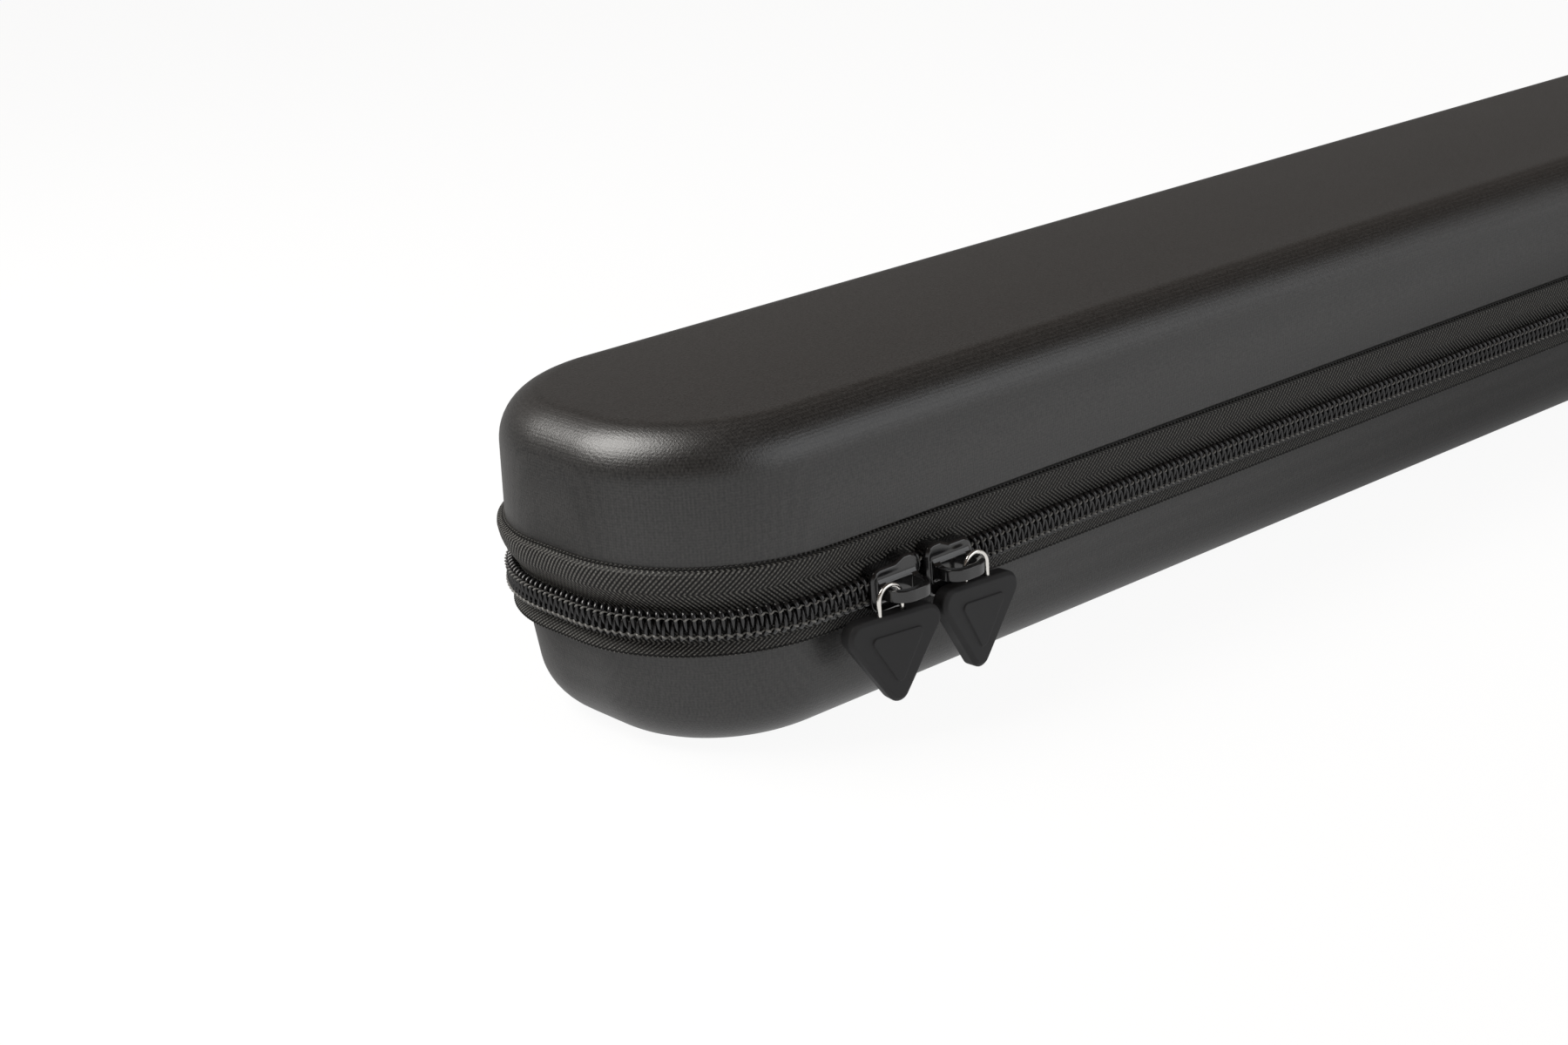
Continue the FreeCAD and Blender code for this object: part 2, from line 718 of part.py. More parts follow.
def add_strap(sketch, tag, at, length, reach, corner, root):
    """A D in plan: straight at the slider's plate, two sides, and rounded outer corners."""
    mid, half, out = number(at), number(length) / 2, number(SLIDER_FRONT)
    deep, r = number(reach), number(corner)
    start = out - number(root)
    tip = out + deep
    spots = [
        V(mid - half, -start, 0), V(mid - half, -(tip - r), 0), V(mid - half + r, -tip, 0),
        V(mid + half - r, -tip, 0), V(mid + half, -(tip - r), 0), V(mid + half, -start, 0),
    ]
    first = sketch.GeometryCount
    turn = math.pi / 2
    left = Part.ArcOfCircle(Part.Circle(V(mid - half + r, -(tip - r), 0), V(0, 0, 1), r), 2 * turn, 3 * turn)
    right = Part.ArcOfCircle(Part.Circle(V(mid + half - r, -(tip - r), 0), V(0, 0, 1), r), 3 * turn, 4 * turn)
    for shape in (Part.LineSegment(spots[0], spots[1]), left, Part.LineSegment(spots[2], spots[3]), right,
                  Part.LineSegment(spots[4], spots[5]), Part.LineSegment(spots[5], spots[0])):
        sketch.addGeometry(shape, False)
    for n in range(4):
        sketch.addConstraint(Sketcher.Constraint("Tangent", first + n, 2, first + n + 1, 1))
    sketch.addConstraint(Sketcher.Constraint("Coincident", first + 4, 2, first + 5, 1))
    sketch.addConstraint(Sketcher.Constraint("Coincident", first + 5, 2, first, 1))
    sketch.addConstraint(Sketcher.Constraint("Vertical", first))
    sketch.addConstraint(Sketcher.Constraint("Vertical", first + 4))
    sketch.addConstraint(Sketcher.Constraint("Horizontal", first + 2))
    sketch.addConstraint(Sketcher.Constraint("Horizontal", first + 5))
    sketch.addConstraint(Sketcher.Constraint("Equal", first + 1, first + 3))
    size_constraint(sketch, f"{tag}_round", corner, "Radius", first + 1)
    size_constraint(sketch, f"{tag}_left", f"{at} - ({length}) / 2", "DistanceX", -1, 1, first, 1)
    size_constraint(sketch, f"{tag}_right", f"{at} + ({length}) / 2", "DistanceX", -1, 1, first + 4, 2)
    size_constraint(sketch, f"{tag}_root", f"-({SLIDER_FRONT} - ({root}))", "DistanceY", -1, 1, first, 1)
    size_constraint(sketch, f"{tag}_tip", f"-({SLIDER_FRONT} + {reach})", "DistanceY", -1, 1, first + 2, 1)


def add_flank(sketch, tag, way):
    """What is cut away beside the bridge's strap: straight along the strap, then a quarter round to its root.

    way is +1 above the strap and -1 below it.
    """
    side = f"zip_level + {way} * lug_thickness / 2"
    wide = f"{side} + {way} * lug_flare"
    out = f"-({SLIDER_FRONT} + lug_reach + cut_past)"
    bend, root = f"-({SLIDER_FRONT} + lug_flare)", f"-({SLIDER_FRONT})"
    past = f"{wide} + {way} * cut_past"
    corners = [(bend, side), (out, side), (out, past), (root, past), (root, wide)]
    spots = [V(number(y), number(z), 0) for y, z in corners]
    first = sketch.GeometryCount
    for a, b in zip(spots, spots[1:]):
        sketch.addGeometry(Part.LineSegment(a, b), False)
    centre = V(number(bend), number(wide), 0)
    start, end = (-math.pi / 2, 0) if way > 0 else (0, math.pi / 2)
    sketch.addGeometry(Part.ArcOfCircle(Part.Circle(centre, V(0, 0, 1), number("lug_flare")), start, end), False)
    for n in range(3):
        sketch.addConstraint(Sketcher.Constraint("Coincident", first + n, 2, first + n + 1, 1))
    near, far = (1, 2) if way > 0 else (2, 1)
    sketch.addConstraint(Sketcher.Constraint("Coincident", first + 4, near, first, 1))
    sketch.addConstraint(Sketcher.Constraint("Coincident", first + 4, far, first + 3, 2))
    size_constraint(sketch, f"{tag}_centre_y", bend, "DistanceX", -1, 1, first + 4, 3)
    size_constraint(sketch, f"{tag}_centre_z", wide, "DistanceY", -1, 1, first + 4, 3)
    size_constraint(sketch, f"{tag}_start_y", bend, "DistanceX", -1, 1, first, 1)
    size_constraint(sketch, f"{tag}_start_z", side, "DistanceY", -1, 1, first, 1)
    for n, (y, z) in enumerate(corners[1:4], start=1):
        size_constraint(sketch, f"{tag}_y{n}", y, "DistanceX", -1, 1, first + n, 1)
        size_constraint(sketch, f"{tag}_z{n}", z, "DistanceY", -1, 1, first + n, 1)
    size_constraint(sketch, f"{tag}_end_z", wide, "DistanceY", -1, 1, first + 3, 2)


PULL_PLANE = f"{SLIDER_FRONT} + (lug_reach - lug_band) / 2"
ARCH_CENTRE = "zip_level + lug_thickness / 2 + slider_clearance + wire_thickness / 2 - wire_spread / 2"
TAG_TOP = f"{ARCH_CENTRE} + wire_spread / 2 - tag_drop"
# the wire loops over the middle of one arm of the bridge
WIRE_OFFSET = "(lug_length - lug_band) / 2"
WIRE_SIDES = 8


def add_wire(sketch, tag, x):
    """The wire's round section, as a polygon, level across the pull."""
    corners = [f"{360 * n / WIRE_SIDES} * 1deg" for n in range(WIRE_SIDES)]
    add_polygon(sketch, tag, [(f"{x} + wire_thickness / 2 * cos({turn})",
                               f"-({PULL_PLANE}) + wire_thickness / 2 * sin({turn})") for turn in corners])


def pull_wire(label, at, side):
    """The bright wire loop: two legs moulded into the tag, and a half ring over the lug's arm."""
    body = new_body(label)
    middle = f"{at} {side} {WIRE_OFFSET}"
    section = new_sketch(body, "arch_section", "XY_Plane", ARCH_CENTRE)
    add_wire(section, "wire", f"{middle} + wire_spread / 2")
    x = number(middle)
    section.addGeometry(Part.LineSegment(V(x, 0, 0), V(x, number("wire_spread"), 0)), True)
    axis = section.GeometryCount - 1
    section.addConstraint(Sketcher.Constraint("Vertical", axis))
    section.addConstraint(Sketcher.Constraint("PointOnObject", axis, 1, -1))
    size_constraint(section, "axis_place", middle, "DistanceX", -1, 1, axis, 1)
    size_constraint(section, "axis_length", "wire_spread", "DistanceY", axis, 1, axis, 2)
    arch = body.newObject("PartDesign::Revolution", f"{body.Name}_arch")
    arch.Profile = section
    arch.ReferenceAxis = (section, ["Axis0"])
    arch.Angle = 180
    arch.Reversed = True
    doc.recompute()
    legs = new_sketch(body, "legs_section", "XY_Plane", ARCH_CENTRE)
    for name, way in (("left", "-"), ("right", "+")):
        add_wire(legs, name, f"{middle} {way} wire_spread / 2")
    pad(body, "legs", legs, f"{ARCH_CENTRE} - ({TAG_TOP}) + wire_bury", down=True)
    return body


def pull_tag(label, at, side):
    """The moulded rubber tag: a rounded triangle, point down, with a raised panel on its face."""
    body = new_body(label)
    middle = f"{at} {side} {WIRE_OFFSET}"
    face = new_sketch(body, "face", "XZ_Plane", f"{PULL_PLANE} - tag_thickness / 2")
    add_triangle(face, "edge", middle, "tag_width", "tag_height", TAG_TOP, "tag_corner", "tag_tip")
    block = pad(body, "block", face, "tag_thickness")
    front = -number(f"{PULL_PLANE} + tag_thickness / 2")
    chamfer(body, "front_edge", block, lambda e: abs(e.BoundBox.YMin - front) < 1e-4
            and e.BoundBox.YLength < 1e-4, "tag_edge")
    panel = new_sketch(body, "panel", "XZ_Plane", f"{PULL_PLANE} + tag_thickness / 2")
    add_triangle(panel, "panel", middle, "panel_width", "panel_height", f"{TAG_TOP} - panel_drop",
                 "panel_corner", "panel_corner")
    pad(body, "raised_panel", panel, "panel_rise")
    # the wire's feet are moulded in: the rubber is hollow just where they stand
    holes = new_sketch(body, "feet", "XY_Plane", f"{TAG_TOP} - wire_bury")
    for name, way in (("left", "-"), ("right", "+")):
        add_wire(holes, name, f"{middle} {way} wire_spread / 2")
    pocket(body, "feet_holes", holes, "wire_bury + cut_past", down=True)
    return body


def add_triangle(sketch, tag, middle, width, height, top, corner, tip):
    """A triangle with its level side on top, two like corners and a tip, sized over its roundings."""
    x, half, deep, high = (number(f) for f in (middle, f"({width}) / 2", height, top))
    r, low_r = number(corner), number(tip)
    left, right = V(x - half + r, high - r, 0), V(x + half - r, high - r, 0)
    low = V(x, high - deep + low_r, 0)
    apart = left.distanceToPoint(low)
    slope = math.atan2(low.y - left.y, low.x - left.x)
    # the angles at which the sides leave the roundings: square to the sides
    down_left = slope - math.pi / 2 + math.asin((r - low_r) / apart)
    down_right = math.pi - down_left
    first = sketch.GeometryCount

    def arc(centre, radius, start, end):
        return Part.ArcOfCircle(Part.Circle(centre, V(0, 0, 1), radius), start, end)

    def line(a, b, angle, start, end):
        out = V(math.cos(angle), math.sin(angle), 0)
        return Part.LineSegment(a + out * start, b + out * end)

    pieces = [
        line(right, left, math.pi / 2, r, r),
        arc(left, r, math.pi / 2, down_left + 2 * math.pi),
        line(left, low, down_left, r, low_r),
        arc(low, low_r, down_left, down_right - 2 * math.pi),
        line(low, right, down_right, low_r, r),
        arc(right, r, down_right, math.pi / 2),
    ]
    for piece in pieces:
        sketch.addGeometry(piece, False)
    for n in range(6):
        sketch.addConstraint(Sketcher.Constraint("Tangent", first + n, 2, first + (n + 1) % 6, 1))
    sketch.addConstraint(Sketcher.Constraint("Horizontal", first))
    sketch.addConstraint(Sketcher.Constraint("Equal", first + 1, first + 5))
    size_constraint(sketch, f"{tag}_corner", corner, "Radius", first + 1)
    size_constraint(sketch, f"{tag}_tip", tip, "Radius", first + 3)
    size_constraint(sketch, f"{tag}_left", f"{middle} - ({width}) / 2 + {corner}", "DistanceX", -1, 1,
                    first + 1, 3)
    size_constraint(sketch, f"{tag}_right", f"{middle} + ({width}) / 2 - {corner}", "DistanceX", -1, 1,
                    first + 5, 3)
    size_constraint(sketch, f"{tag}_middle", middle, "DistanceX", -1, 1, first + 3, 3)
    size_constraint(sketch, f"{tag}_top", f"{top} - {corner}", "DistanceY", -1, 1, first + 1, 3)
    size_constraint(sketch, f"{tag}_low", f"{top} - ({height}) + {tip}", "DistanceY", -1, 1, first + 3, 3)


# ---------------------------------------------------------------------------------------------------------------
# The case
# ---------------------------------------------------------------------------------------------------------------

subparts = [
    base_shell(),
    lid_shell(),
    rim_band(),
    base_lining(),
    lid_lining(),
    *foam_bed(),
    lid_pad(),
    upper_zip_tape(),
    lower_zip_tape(),
    coil("upper_coil", "zip_level + coil_split / 2", "zip_level + chain_width / 2"),
    coil("lower_coil", "zip_level - chain_width / 2", "zip_level - coil_split / 2"),
    hinge_strip(),
    hinge_lining(),
    base_binding(),
    lid_binding(),
    zip_stop("near_end_stop", "-"),
    zip_stop("far_end_stop", ""),
    end_tab("near_end_tab", "-"),
    end_tab("far_end_tab", ""),
]
for name, wide, side in (("near", 1, "-"), ("far", -1, "+")):
    subparts.append(slider_body(f"{name}_slider_body", f"{name}_slider_at", wide))
    subparts.append(pull_wire(f"{name}_pull_wire", f"{name}_slider_at", side))
    subparts.append(pull_tag(f"{name}_pull_tag", f"{name}_slider_at", side))

doc.recompute()
for thing in doc.Objects:
    if "Invalid" in thing.State or "Error" in thing.State:
        raise RuntimeError(f"{thing.Name} failed: {thing.State}")
for subpart in subparts:
    if subpart.Shape.isNull() or not subpart.Shape.isValid():
        raise RuntimeError(f"{subpart.Label} has no valid shape")

os.makedirs("parts", exist_ok=True)
for subpart in subparts:
    subpart.Shape.exportStep(f"parts/{subpart.Label}.step")
    box = subpart.Shape.BoundBox
    print(f"{subpart.Label:20} {len(subpart.Shape.Solids)} solid {subpart.Shape.Volume:12.1f} mm3 "
          f"x {box.XMin:.2f}..{box.XMax:.2f} y {box.YMin:.2f}..{box.YMax:.2f} z {box.ZMin:.2f}..{box.ZMax:.2f}")
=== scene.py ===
"""A zip-up hard cue case: moulded cloth-skinned shells, a coil zip with two sliders, and a foam bed."""

import math

import bpy
from mathutils import Matrix, Vector


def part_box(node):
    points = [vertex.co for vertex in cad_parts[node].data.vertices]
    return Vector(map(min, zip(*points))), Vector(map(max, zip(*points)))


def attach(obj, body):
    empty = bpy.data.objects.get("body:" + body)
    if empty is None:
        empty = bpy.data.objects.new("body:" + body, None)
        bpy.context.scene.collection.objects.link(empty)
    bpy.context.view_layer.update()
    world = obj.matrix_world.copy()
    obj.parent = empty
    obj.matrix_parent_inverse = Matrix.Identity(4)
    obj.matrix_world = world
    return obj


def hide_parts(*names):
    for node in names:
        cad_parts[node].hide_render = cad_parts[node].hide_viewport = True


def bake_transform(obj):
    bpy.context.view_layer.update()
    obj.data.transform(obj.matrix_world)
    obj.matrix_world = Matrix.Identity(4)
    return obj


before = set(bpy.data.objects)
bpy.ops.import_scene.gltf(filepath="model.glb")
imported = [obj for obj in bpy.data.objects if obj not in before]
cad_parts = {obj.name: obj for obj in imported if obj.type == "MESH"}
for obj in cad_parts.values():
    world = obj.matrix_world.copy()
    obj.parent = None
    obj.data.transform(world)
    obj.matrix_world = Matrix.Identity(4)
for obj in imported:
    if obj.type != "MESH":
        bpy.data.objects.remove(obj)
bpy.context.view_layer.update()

# The moulded shells.
# Two trays pressed from foam with a fine black cloth on the outside. Each is shaped from a plate with
# rounded corners: the plate is drawn up to a leaning wall, its far edge rounded over, and the wall
# given its thickness.
MM = 0.001
HAIR = 0.01 * MM
CASE_LENGTH, CASE_WIDTH, CORNER = 840 * MM, 91 * MM, 39 * MM
LID_RIM, LID_TOP, LID_LEAN, LID_ROUNDING = 44.6 * MM, 74.6 * MM, math.radians(2.2), 11.7 * MM
BASE_RIM, BASE_INSET, BASE_LEAN, BASE_ROUNDING = 25.2 * MM, 3 * MM, math.radians(7), 13.6 * MM
SHELL_WALL = 4.5 * MM
LID_RIM_EDGE, BASE_RIM_EDGE = 0.7 * MM, 0.5 * MM
CORNER_STEPS, FLOOR_EDGE_STEPS, RIM_EDGE_STEPS = 24, 14, 4
MOULDED_CREASE = math.radians(40)
KNIT, KNIT_SHARE = 0.62 * MM, 0.1
SKIN_BLACK, SKIN_GREY = (0.0038, 0.0037, 0.0037), (0.027, 0.0265, 0.026)


def pick(piece, kind, wanted):
    """Goes into edit mode on one piece with just its wanted vertices, edges or faces selected."""
    bpy.ops.object.select_all(action="DESELECT")
    piece.select_set(True)
    bpy.context.view_layer.objects.active = piece
    mesh = piece.data
    for group in (mesh.vertices, mesh.edges, mesh.polygons):
        group.foreach_set("select", [False] * len(group))
    points = [v.co for v in mesh.vertices]
    group = {"VERT": mesh.vertices, "EDGE": mesh.edges, "FACE": mesh.polygons}[kind]
    for part in group:
        corners = [part.co] if kind == "VERT" else [points[n] for n in part.vertices]
        part.select = bool(wanted(corners))
    bpy.ops.object.mode_set(mode="EDIT")
    bpy.ops.mesh.select_mode(type=kind)


def every(corners):
    return True


def level(z):
    return lambda corners: all(abs(c.z - z) < 2 * HAIR for c in corners)


def done(piece):
    """Back to object mode."""
    bpy.ops.object.mode_set(mode="OBJECT")
    return piece


def finish_with(piece, kind, **settings):
    """Adds one modifier and applies it."""
    bpy.ops.object.select_all(action="DESELECT")
    piece.select_set(True)
    bpy.context.view_layer.objects.active = piece
    modifier = piece.modifiers.new(kind.title(), kind)
    for name, value in settings.items():
        setattr(modifier, name, value)
    bpy.ops.object.modifier_apply(modifier=modifier.name)
    return piece


def rounded_plate(name, inset, z, segments=CORNER_STEPS):
    """A flat plate of the case's outline, drawn in by an inset, with rounded corners."""
    bpy.ops.object.select_all(action="DESELECT")
    bpy.ops.mesh.primitive_plane_add(size=1, location=(0, 0, z))
    plate = bpy.context.object
    plate.name = name
    plate.scale = (CASE_LENGTH - 2 * inset, CASE_WIDTH - 2 * inset, 1)
    bpy.ops.object.transform_apply(location=True, rotation=True, scale=True)
    pick(plate, "VERT", every)
    bpy.ops.mesh.bevel(offset=CORNER - inset, segments=segments, affect="VERTICES", clamp_overlap=False)
    return done(plate)


def moulded_tray(name, inset, rim, floor, lean, rounding, wall, rim_edge=0.0):
    """A tray from its rim to its floor, whose wall leans in by an angle, with a rounded floor edge."""
    tray = rounded_plate(name, inset, rim)
    deep = abs(floor - rim)
    up = floor > rim
    pick(tray, "FACE", every)
    bpy.ops.mesh.inset(thickness=deep * math.tan(lean), depth=deep if up else -deep, use_even_offset=True)
    done(tray)
    pick(tray, "EDGE", level(floor))
    reach = rounding * math.tan((math.pi / 2 - lean) / 2)
    bpy.ops.mesh.bevel(offset=reach, segments=FLOOR_EDGE_STEPS, affect="EDGES", clamp_overlap=False)
    done(tray)
    pick(tray, "FACE", every)
    bpy.ops.mesh.normals_make_consistent(inside=False)
    done(tray)
    finish_with(tray, "SOLIDIFY", thickness=wall, offset=-1, use_even_offset=True)
    if rim_edge:
        outline = CASE_WIDTH / 2 - inset - 10 * HAIR
        straight = CASE_LENGTH / 2 - CORNER
        half = CASE_WIDTH / 2 - CORNER

        def outer(corners):
            if not level(rim)(corners):
                return False
            stand_out = [math.hypot(max(abs(c.x) - straight, 0), max(abs(c.y) - half, 0)) + half
                         for c in corners]
            return min(stand_out) > outline

        pick(tray, "EDGE", outer)
        bpy.ops.mesh.bevel(offset=rim_edge, segments=RIM_EDGE_STEPS, affect="EDGES", clamp_overlap=False)
        done(tray)
    bpy.ops.object.shade_smooth_by_angle(angle=MOULDED_CREASE)
    return tray


lid_skin = moulded_tray("lid_skin", inset=0, rim=LID_RIM, floor=LID_TOP, lean=LID_LEAN,
                        rounding=LID_ROUNDING, wall=SHELL_WALL, rim_edge=LID_RIM_EDGE)
base_skin = moulded_tray("base_skin", inset=BASE_INSET, rim=BASE_RIM, floor=0, lean=BASE_LEAN,
                         rounding=BASE_ROUNDING, wall=SHELL_WALL, rim_edge=BASE_RIM_EDGE)


def node_adder(tree):
    """A function that adds a node to a tree, its settings plain values or other nodes' results."""

    def add(kind, **settings):
        node = tree.nodes.new("ShaderNode" + kind)
        for key, value in settings.items():
            if key in node.inputs:
                plug = node.inputs[key]
                if isinstance(value, bpy.types.NodeSocket):
                    tree.links.new(value, plug)
                else:
                    plug.default_value = value
            else:
                setattr(node, key, value)
        return node

    add.link = tree.links.new
    return add


def new_material(name):
    """A material with nodes: itself, the function that adds a node to it, and its shader."""
    material = bpy.data.materials.new(name)
    material.use_nodes = True
    return material, node_adder(material.node_tree), material.node_tree.nodes["Principled BSDF"]


def work_out(add, operation, *values):
    """One sum on one or more values, each a number or another node's result."""
    node = add("Math", operation=operation)
    for plug, value in zip(node.inputs, values):
        if isinstance(value, bpy.types.NodeSocket):
            add.link(value, plug)
        else:
            plug.default_value = value
    return node.outputs[0]


def between(add, share, first, last, start=0.0, end=1.0):
    """A value that runs from first to last as the share goes from start to end."""
    spread = add("MapRange", **{"From Min": start, "From Max": end, "To Min": first, "To Max": last})
    add.link(share, spread.inputs["Value"])
    return spread.outputs["Result"]


def two_tone(add, share, tone, other):
    """A colour between two tones."""
    mixed = add("Mix", data_type="RGBA")
    add.link(share, mixed.inputs["Factor"])
    mixed.inputs["A"].default_value = (*tone, 1)
    mixed.inputs["B"].default_value = (*other, 1)
    return mixed.outputs["Result"]


def noise(add, place, **settings):
    return add("TexNoise", Vector=place, **settings).outputs["Fac"]


def ridges(add, value, pitch):
    """Even ridges along one coordinate, as far apart as the pitch, from -1 to 1."""
    return work_out(add, "SINE", work_out(add, "MULTIPLY", value, 2 * math.pi / pitch))


def colour(add, shader, share, dark, light):
    """Colours the surface between two tones."""
    add.link(two_tone(add, share, dark, light), shader.inputs["Base Color"])


def roughen(add, shader, share, least, most):
    """Makes the surface's roughness vary between two values."""
    add.link(between(add, share, least, most), shader.inputs["Roughness"])


def relief(add, shader, height, strength, depth):
    """Raises the surface by a height."""
    bump = add("Bump", Strength=strength, Distance=depth, Height=height)
    add.link(bump.outputs["Normal"], shader.inputs["Normal"])


def give(piece, material, body, slot, *nodes):
    """Gives a piece its finish and the body that it moves with, if just one, and hides its nodes. Its slot
    is not used.
    """
    piece.data.materials.clear()
    piece.data.materials.append(material)
    if body:
        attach(piece, body)
    if nodes:
        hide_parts(*nodes)


skin_cloth, add, shader = new_material("skin_cloth")
place = add("TexCoord").outputs["Object"]
axes = add("SeparateXYZ", Vector=place).outputs
knit = ridges(add, axes["X"], KNIT)
for axis in "YZ":
    knit = work_out(add, "ADD", knit, ridges(add, axes[axis], KNIT))
grain = noise(add, place, Scale=1700, Detail=3, Roughness=0.7)
mottle = noise(add, place, Scale=30, Detail=4, Roughness=0.55)
speckle = work_out(add, "ADD", between(add, grain, first=0, last=0.8, start=0.33, end=0.67),
                   work_out(add, "MULTIPLY", knit, KNIT_SHARE))
colour(add, shader, speckle, dark=SKIN_BLACK, light=SKIN_GREY)
roughen(add, shader, mottle, least=0.33, most=0.39)
relief(add, shader, speckle, strength=0.3, depth=0.1 * MM)
shader.inputs["Specular IOR Level"].default_value = 0.6
shader.inputs["Sheen Weight"].default_value = 0.04
shader.inputs["Sheen Roughness"].default_value = 0.4
give(lid_skin, skin_cloth, "lid", "moulded_skin", "lid_shell")
give(base_skin, skin_cloth, "base", "moulded_skin", "base_shell")

# The linings.
# Brushed black cloth stuck to the inside of each shell, one sheet to a shell, cut at the rim. Each is
# the shell's own form, drawn in by the shell's wall, and is cut as wide and as long as the shell's floor
# and the walls on both sides of it.
LINING, LINING_PLAY = 0.8 * MM, 0.06 * MM
base_cloth = moulded_tray("base_cloth", inset=BASE_INSET + SHELL_WALL / math.cos(BASE_LEAN) + LINING_PLAY,
                          rim=BASE_RIM, floor=SHELL_WALL + LINING_PLAY, lean=BASE_LEAN,
                          rounding=BASE_ROUNDING - SHELL_WALL, wall=LINING)
lid_cloth = moulded_tray("lid_cloth", inset=SHELL_WALL / math.cos(LID_LEAN) + LINING_PLAY,
                         rim=LID_RIM, floor=LID_TOP - SHELL_WALL - LINING_PLAY, lean=LID_LEAN,
                         rounding=LID_ROUNDING - SHELL_WALL, wall=LINING)
brushed_cloth, add, shader = new_material("brushed_cloth")
place = add("TexCoord").outputs["Object"]
nap = noise(add, place, Scale=900, Detail=4, Roughness=0.7)
strokes = noise(add, place, Scale=22, Detail=3, Distortion=1.2)
brushed = work_out(add, "MULTIPLY", nap, between(add, strokes, first=0.6, last=1.4))
colour(add, shader, brushed, dark=(0.012, 0.012, 0.013), light=(0.05, 0.05, 0.053))
shader.inputs["Roughness"].default_value = 0.95
shader.inputs["Sheen Weight"].default_value = 0.35
shader.inputs["Sheen Roughness"].default_value = 0.6
relief(add, shader, nap, strength=0.5, depth=0.25 * MM)
give(base_cloth, brushed_cloth, "base", "lining_cloth", "base_lining")
give(lid_cloth, brushed_cloth, "lid", "lining_cloth", "lid_lining")

# The foam bed and the lid's pad.
# Soft foam cut to shape and flocked with short dark fibres: a floor slab, three long walls that make a
# channel for each half of the cue, a block at each end, and a thick slab in the lid. The knife leaves
# every edge a little round.
CLUMP_HEIGHT = 2.0


def eased_copy(name, node, grain, passes):
    """A node's form with softly rounded edges: a copy of it, merged, recast in fine cells and smoothed."""
    piece = bpy.data.objects.new(name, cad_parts[node].data.copy())
    bpy.context.scene.collection.objects.link(piece)
    pick(piece, "VERT", every)
    bpy.ops.mesh.remove_doubles(threshold=0.1 * HAIR)
    done(piece)
    finish_with(piece, "REMESH", mode="VOXEL", voxel_size=grain)
    finish_with(piece, "SMOOTH", factor=0.5, iterations=passes)
    bpy.ops.object.shade_smooth()
    return piece


flocked_foam, add, shader = new_material("flocked_foam")
place = add("TexCoord").outputs["Object"]
fibres = noise(add, place, Scale=1400, Detail=3, Roughness=0.7)
cells = noise(add, place, Scale=130, Detail=3, Roughness=0.6)
flock = work_out(add, "MULTIPLY", fibres, between(add, cells, first=0.5, last=1.5))
colour(add, shader, flock, dark=(0.018, 0.018, 0.019), light=(0.085, 0.085, 0.089))
shader.inputs["Roughness"].default_value = 0.95
shader.inputs["Sheen Weight"].default_value = 0.3
shader.inputs["Sheen Roughness"].default_value = 0.5
clumps = work_out(add, "MULTIPLY", cells, CLUMP_HEIGHT)
relief(add, shader, work_out(add, "ADD", fibres, clumps), strength=0.6, depth=0.3 * MM)
for name, node, body, cell in (("bed_floor", "bed_floor_slab", "base", 1.6 * MM),
                               ("bed_front", "bed_front_wall", "base", 1.4 * MM),
                               ("bed_middle", "bed_divider", "base", 1.2 * MM),
                               ("bed_back", "bed_back_wall", "base", 1.4 * MM),
                               ("bed_near_end", "bed_near_block", "base", 1.4 * MM),
                               ("bed_far_end", "bed_far_block", "base", 1.4 * MM),
                               ("lid_slab", "lid_pad", "lid", 2.0 * MM)):
    foam = eased_copy(name, node, grain=cell, passes=4)
    give(foam, flocked_foam, body, "foam", node)

# The zip's line.
# A woven zip is made flat and sewn on, so its tapes and coils are made flat here too, along X with
# their face towards -Y, and then laid round the case on this line. It starts and ends on the case's
# back, beside the hinge.
CHAIN_LEVEL = 32.8 * MM
ZIP_END = 360 * MM
LINE_CORNER_STEPS, FRONT_CUTS = 40, 95

# The chain sinks in round the ends of the case and tips on its front. The places of both are in mm from
# the nearer end of the zip, as are all that are compared with from_end().
SINK, SINK_STARTS, SUNK, SINK_ENDS, LEVEL_AGAIN = 2.0 * MM, 10, 40, 100, 165
TIP, TIP_STARTS, TIPPED = math.radians(9), 190, 320


def zip_line():
    """An open curve along the chain, from the near end of the zip round the front to the far one."""
    line = rounded_plate("zip_line", 0, CHAIN_LEVEL, segments=LINE_CORNER_STEPS)
    pick(line, "FACE", every)
    bpy.ops.mesh.delete(type="ONLY_FACE")
    done(line)
    side = CASE_WIDTH / 2
    pick(line, "EDGE", lambda corners: all(c.y > side - HAIR for c in corners))
    bpy.ops.mesh.delete(type="EDGE")
    done(line)
    bend = CASE_LENGTH / 2 - CORNER
    for sign in (-1, 1):
        pick(line, "VERT", lambda corners: corners[0].y > side - HAIR and corners[0].x * sign > 0)
        bpy.ops.mesh.extrude_region_move(TRANSFORM_OT_translate={"value": (-sign * (bend - ZIP_END), 0, 0)})
        done(line)
    pick(line, "EDGE", lambda corners: all(c.y < -side + HAIR for c in corners))
    bpy.ops.mesh.subdivide(number_cuts=FRONT_CUTS)
    done(line)
    bpy.ops.object.convert(target="CURVE")
    line = bpy.context.object
    if line.data.splines[0].points[0].co.x > 0:
        bpy.ops.object.mode_set(mode="EDIT")
        bpy.ops.curve.select_all(action="SELECT")
        bpy.ops.curve.switch_direction()
        bpy.ops.object.mode_set(mode="OBJECT")
    return line


zip_curve = zip_line()
line_points = [Vector(p.co[:3]) for p in zip_curve.data.splines[0].points]
ZIP_LENGTH = sum((b - a).length for a, b in zip(line_points, line_points[1:]))


def lay_on_line(piece):
    """Bends a flat piece round the case along the zip's line."""
    bpy.context.view_layer.update()
    return finish_with(piece, "CURVE", object=zip_curve, deform_axis="POS_X")


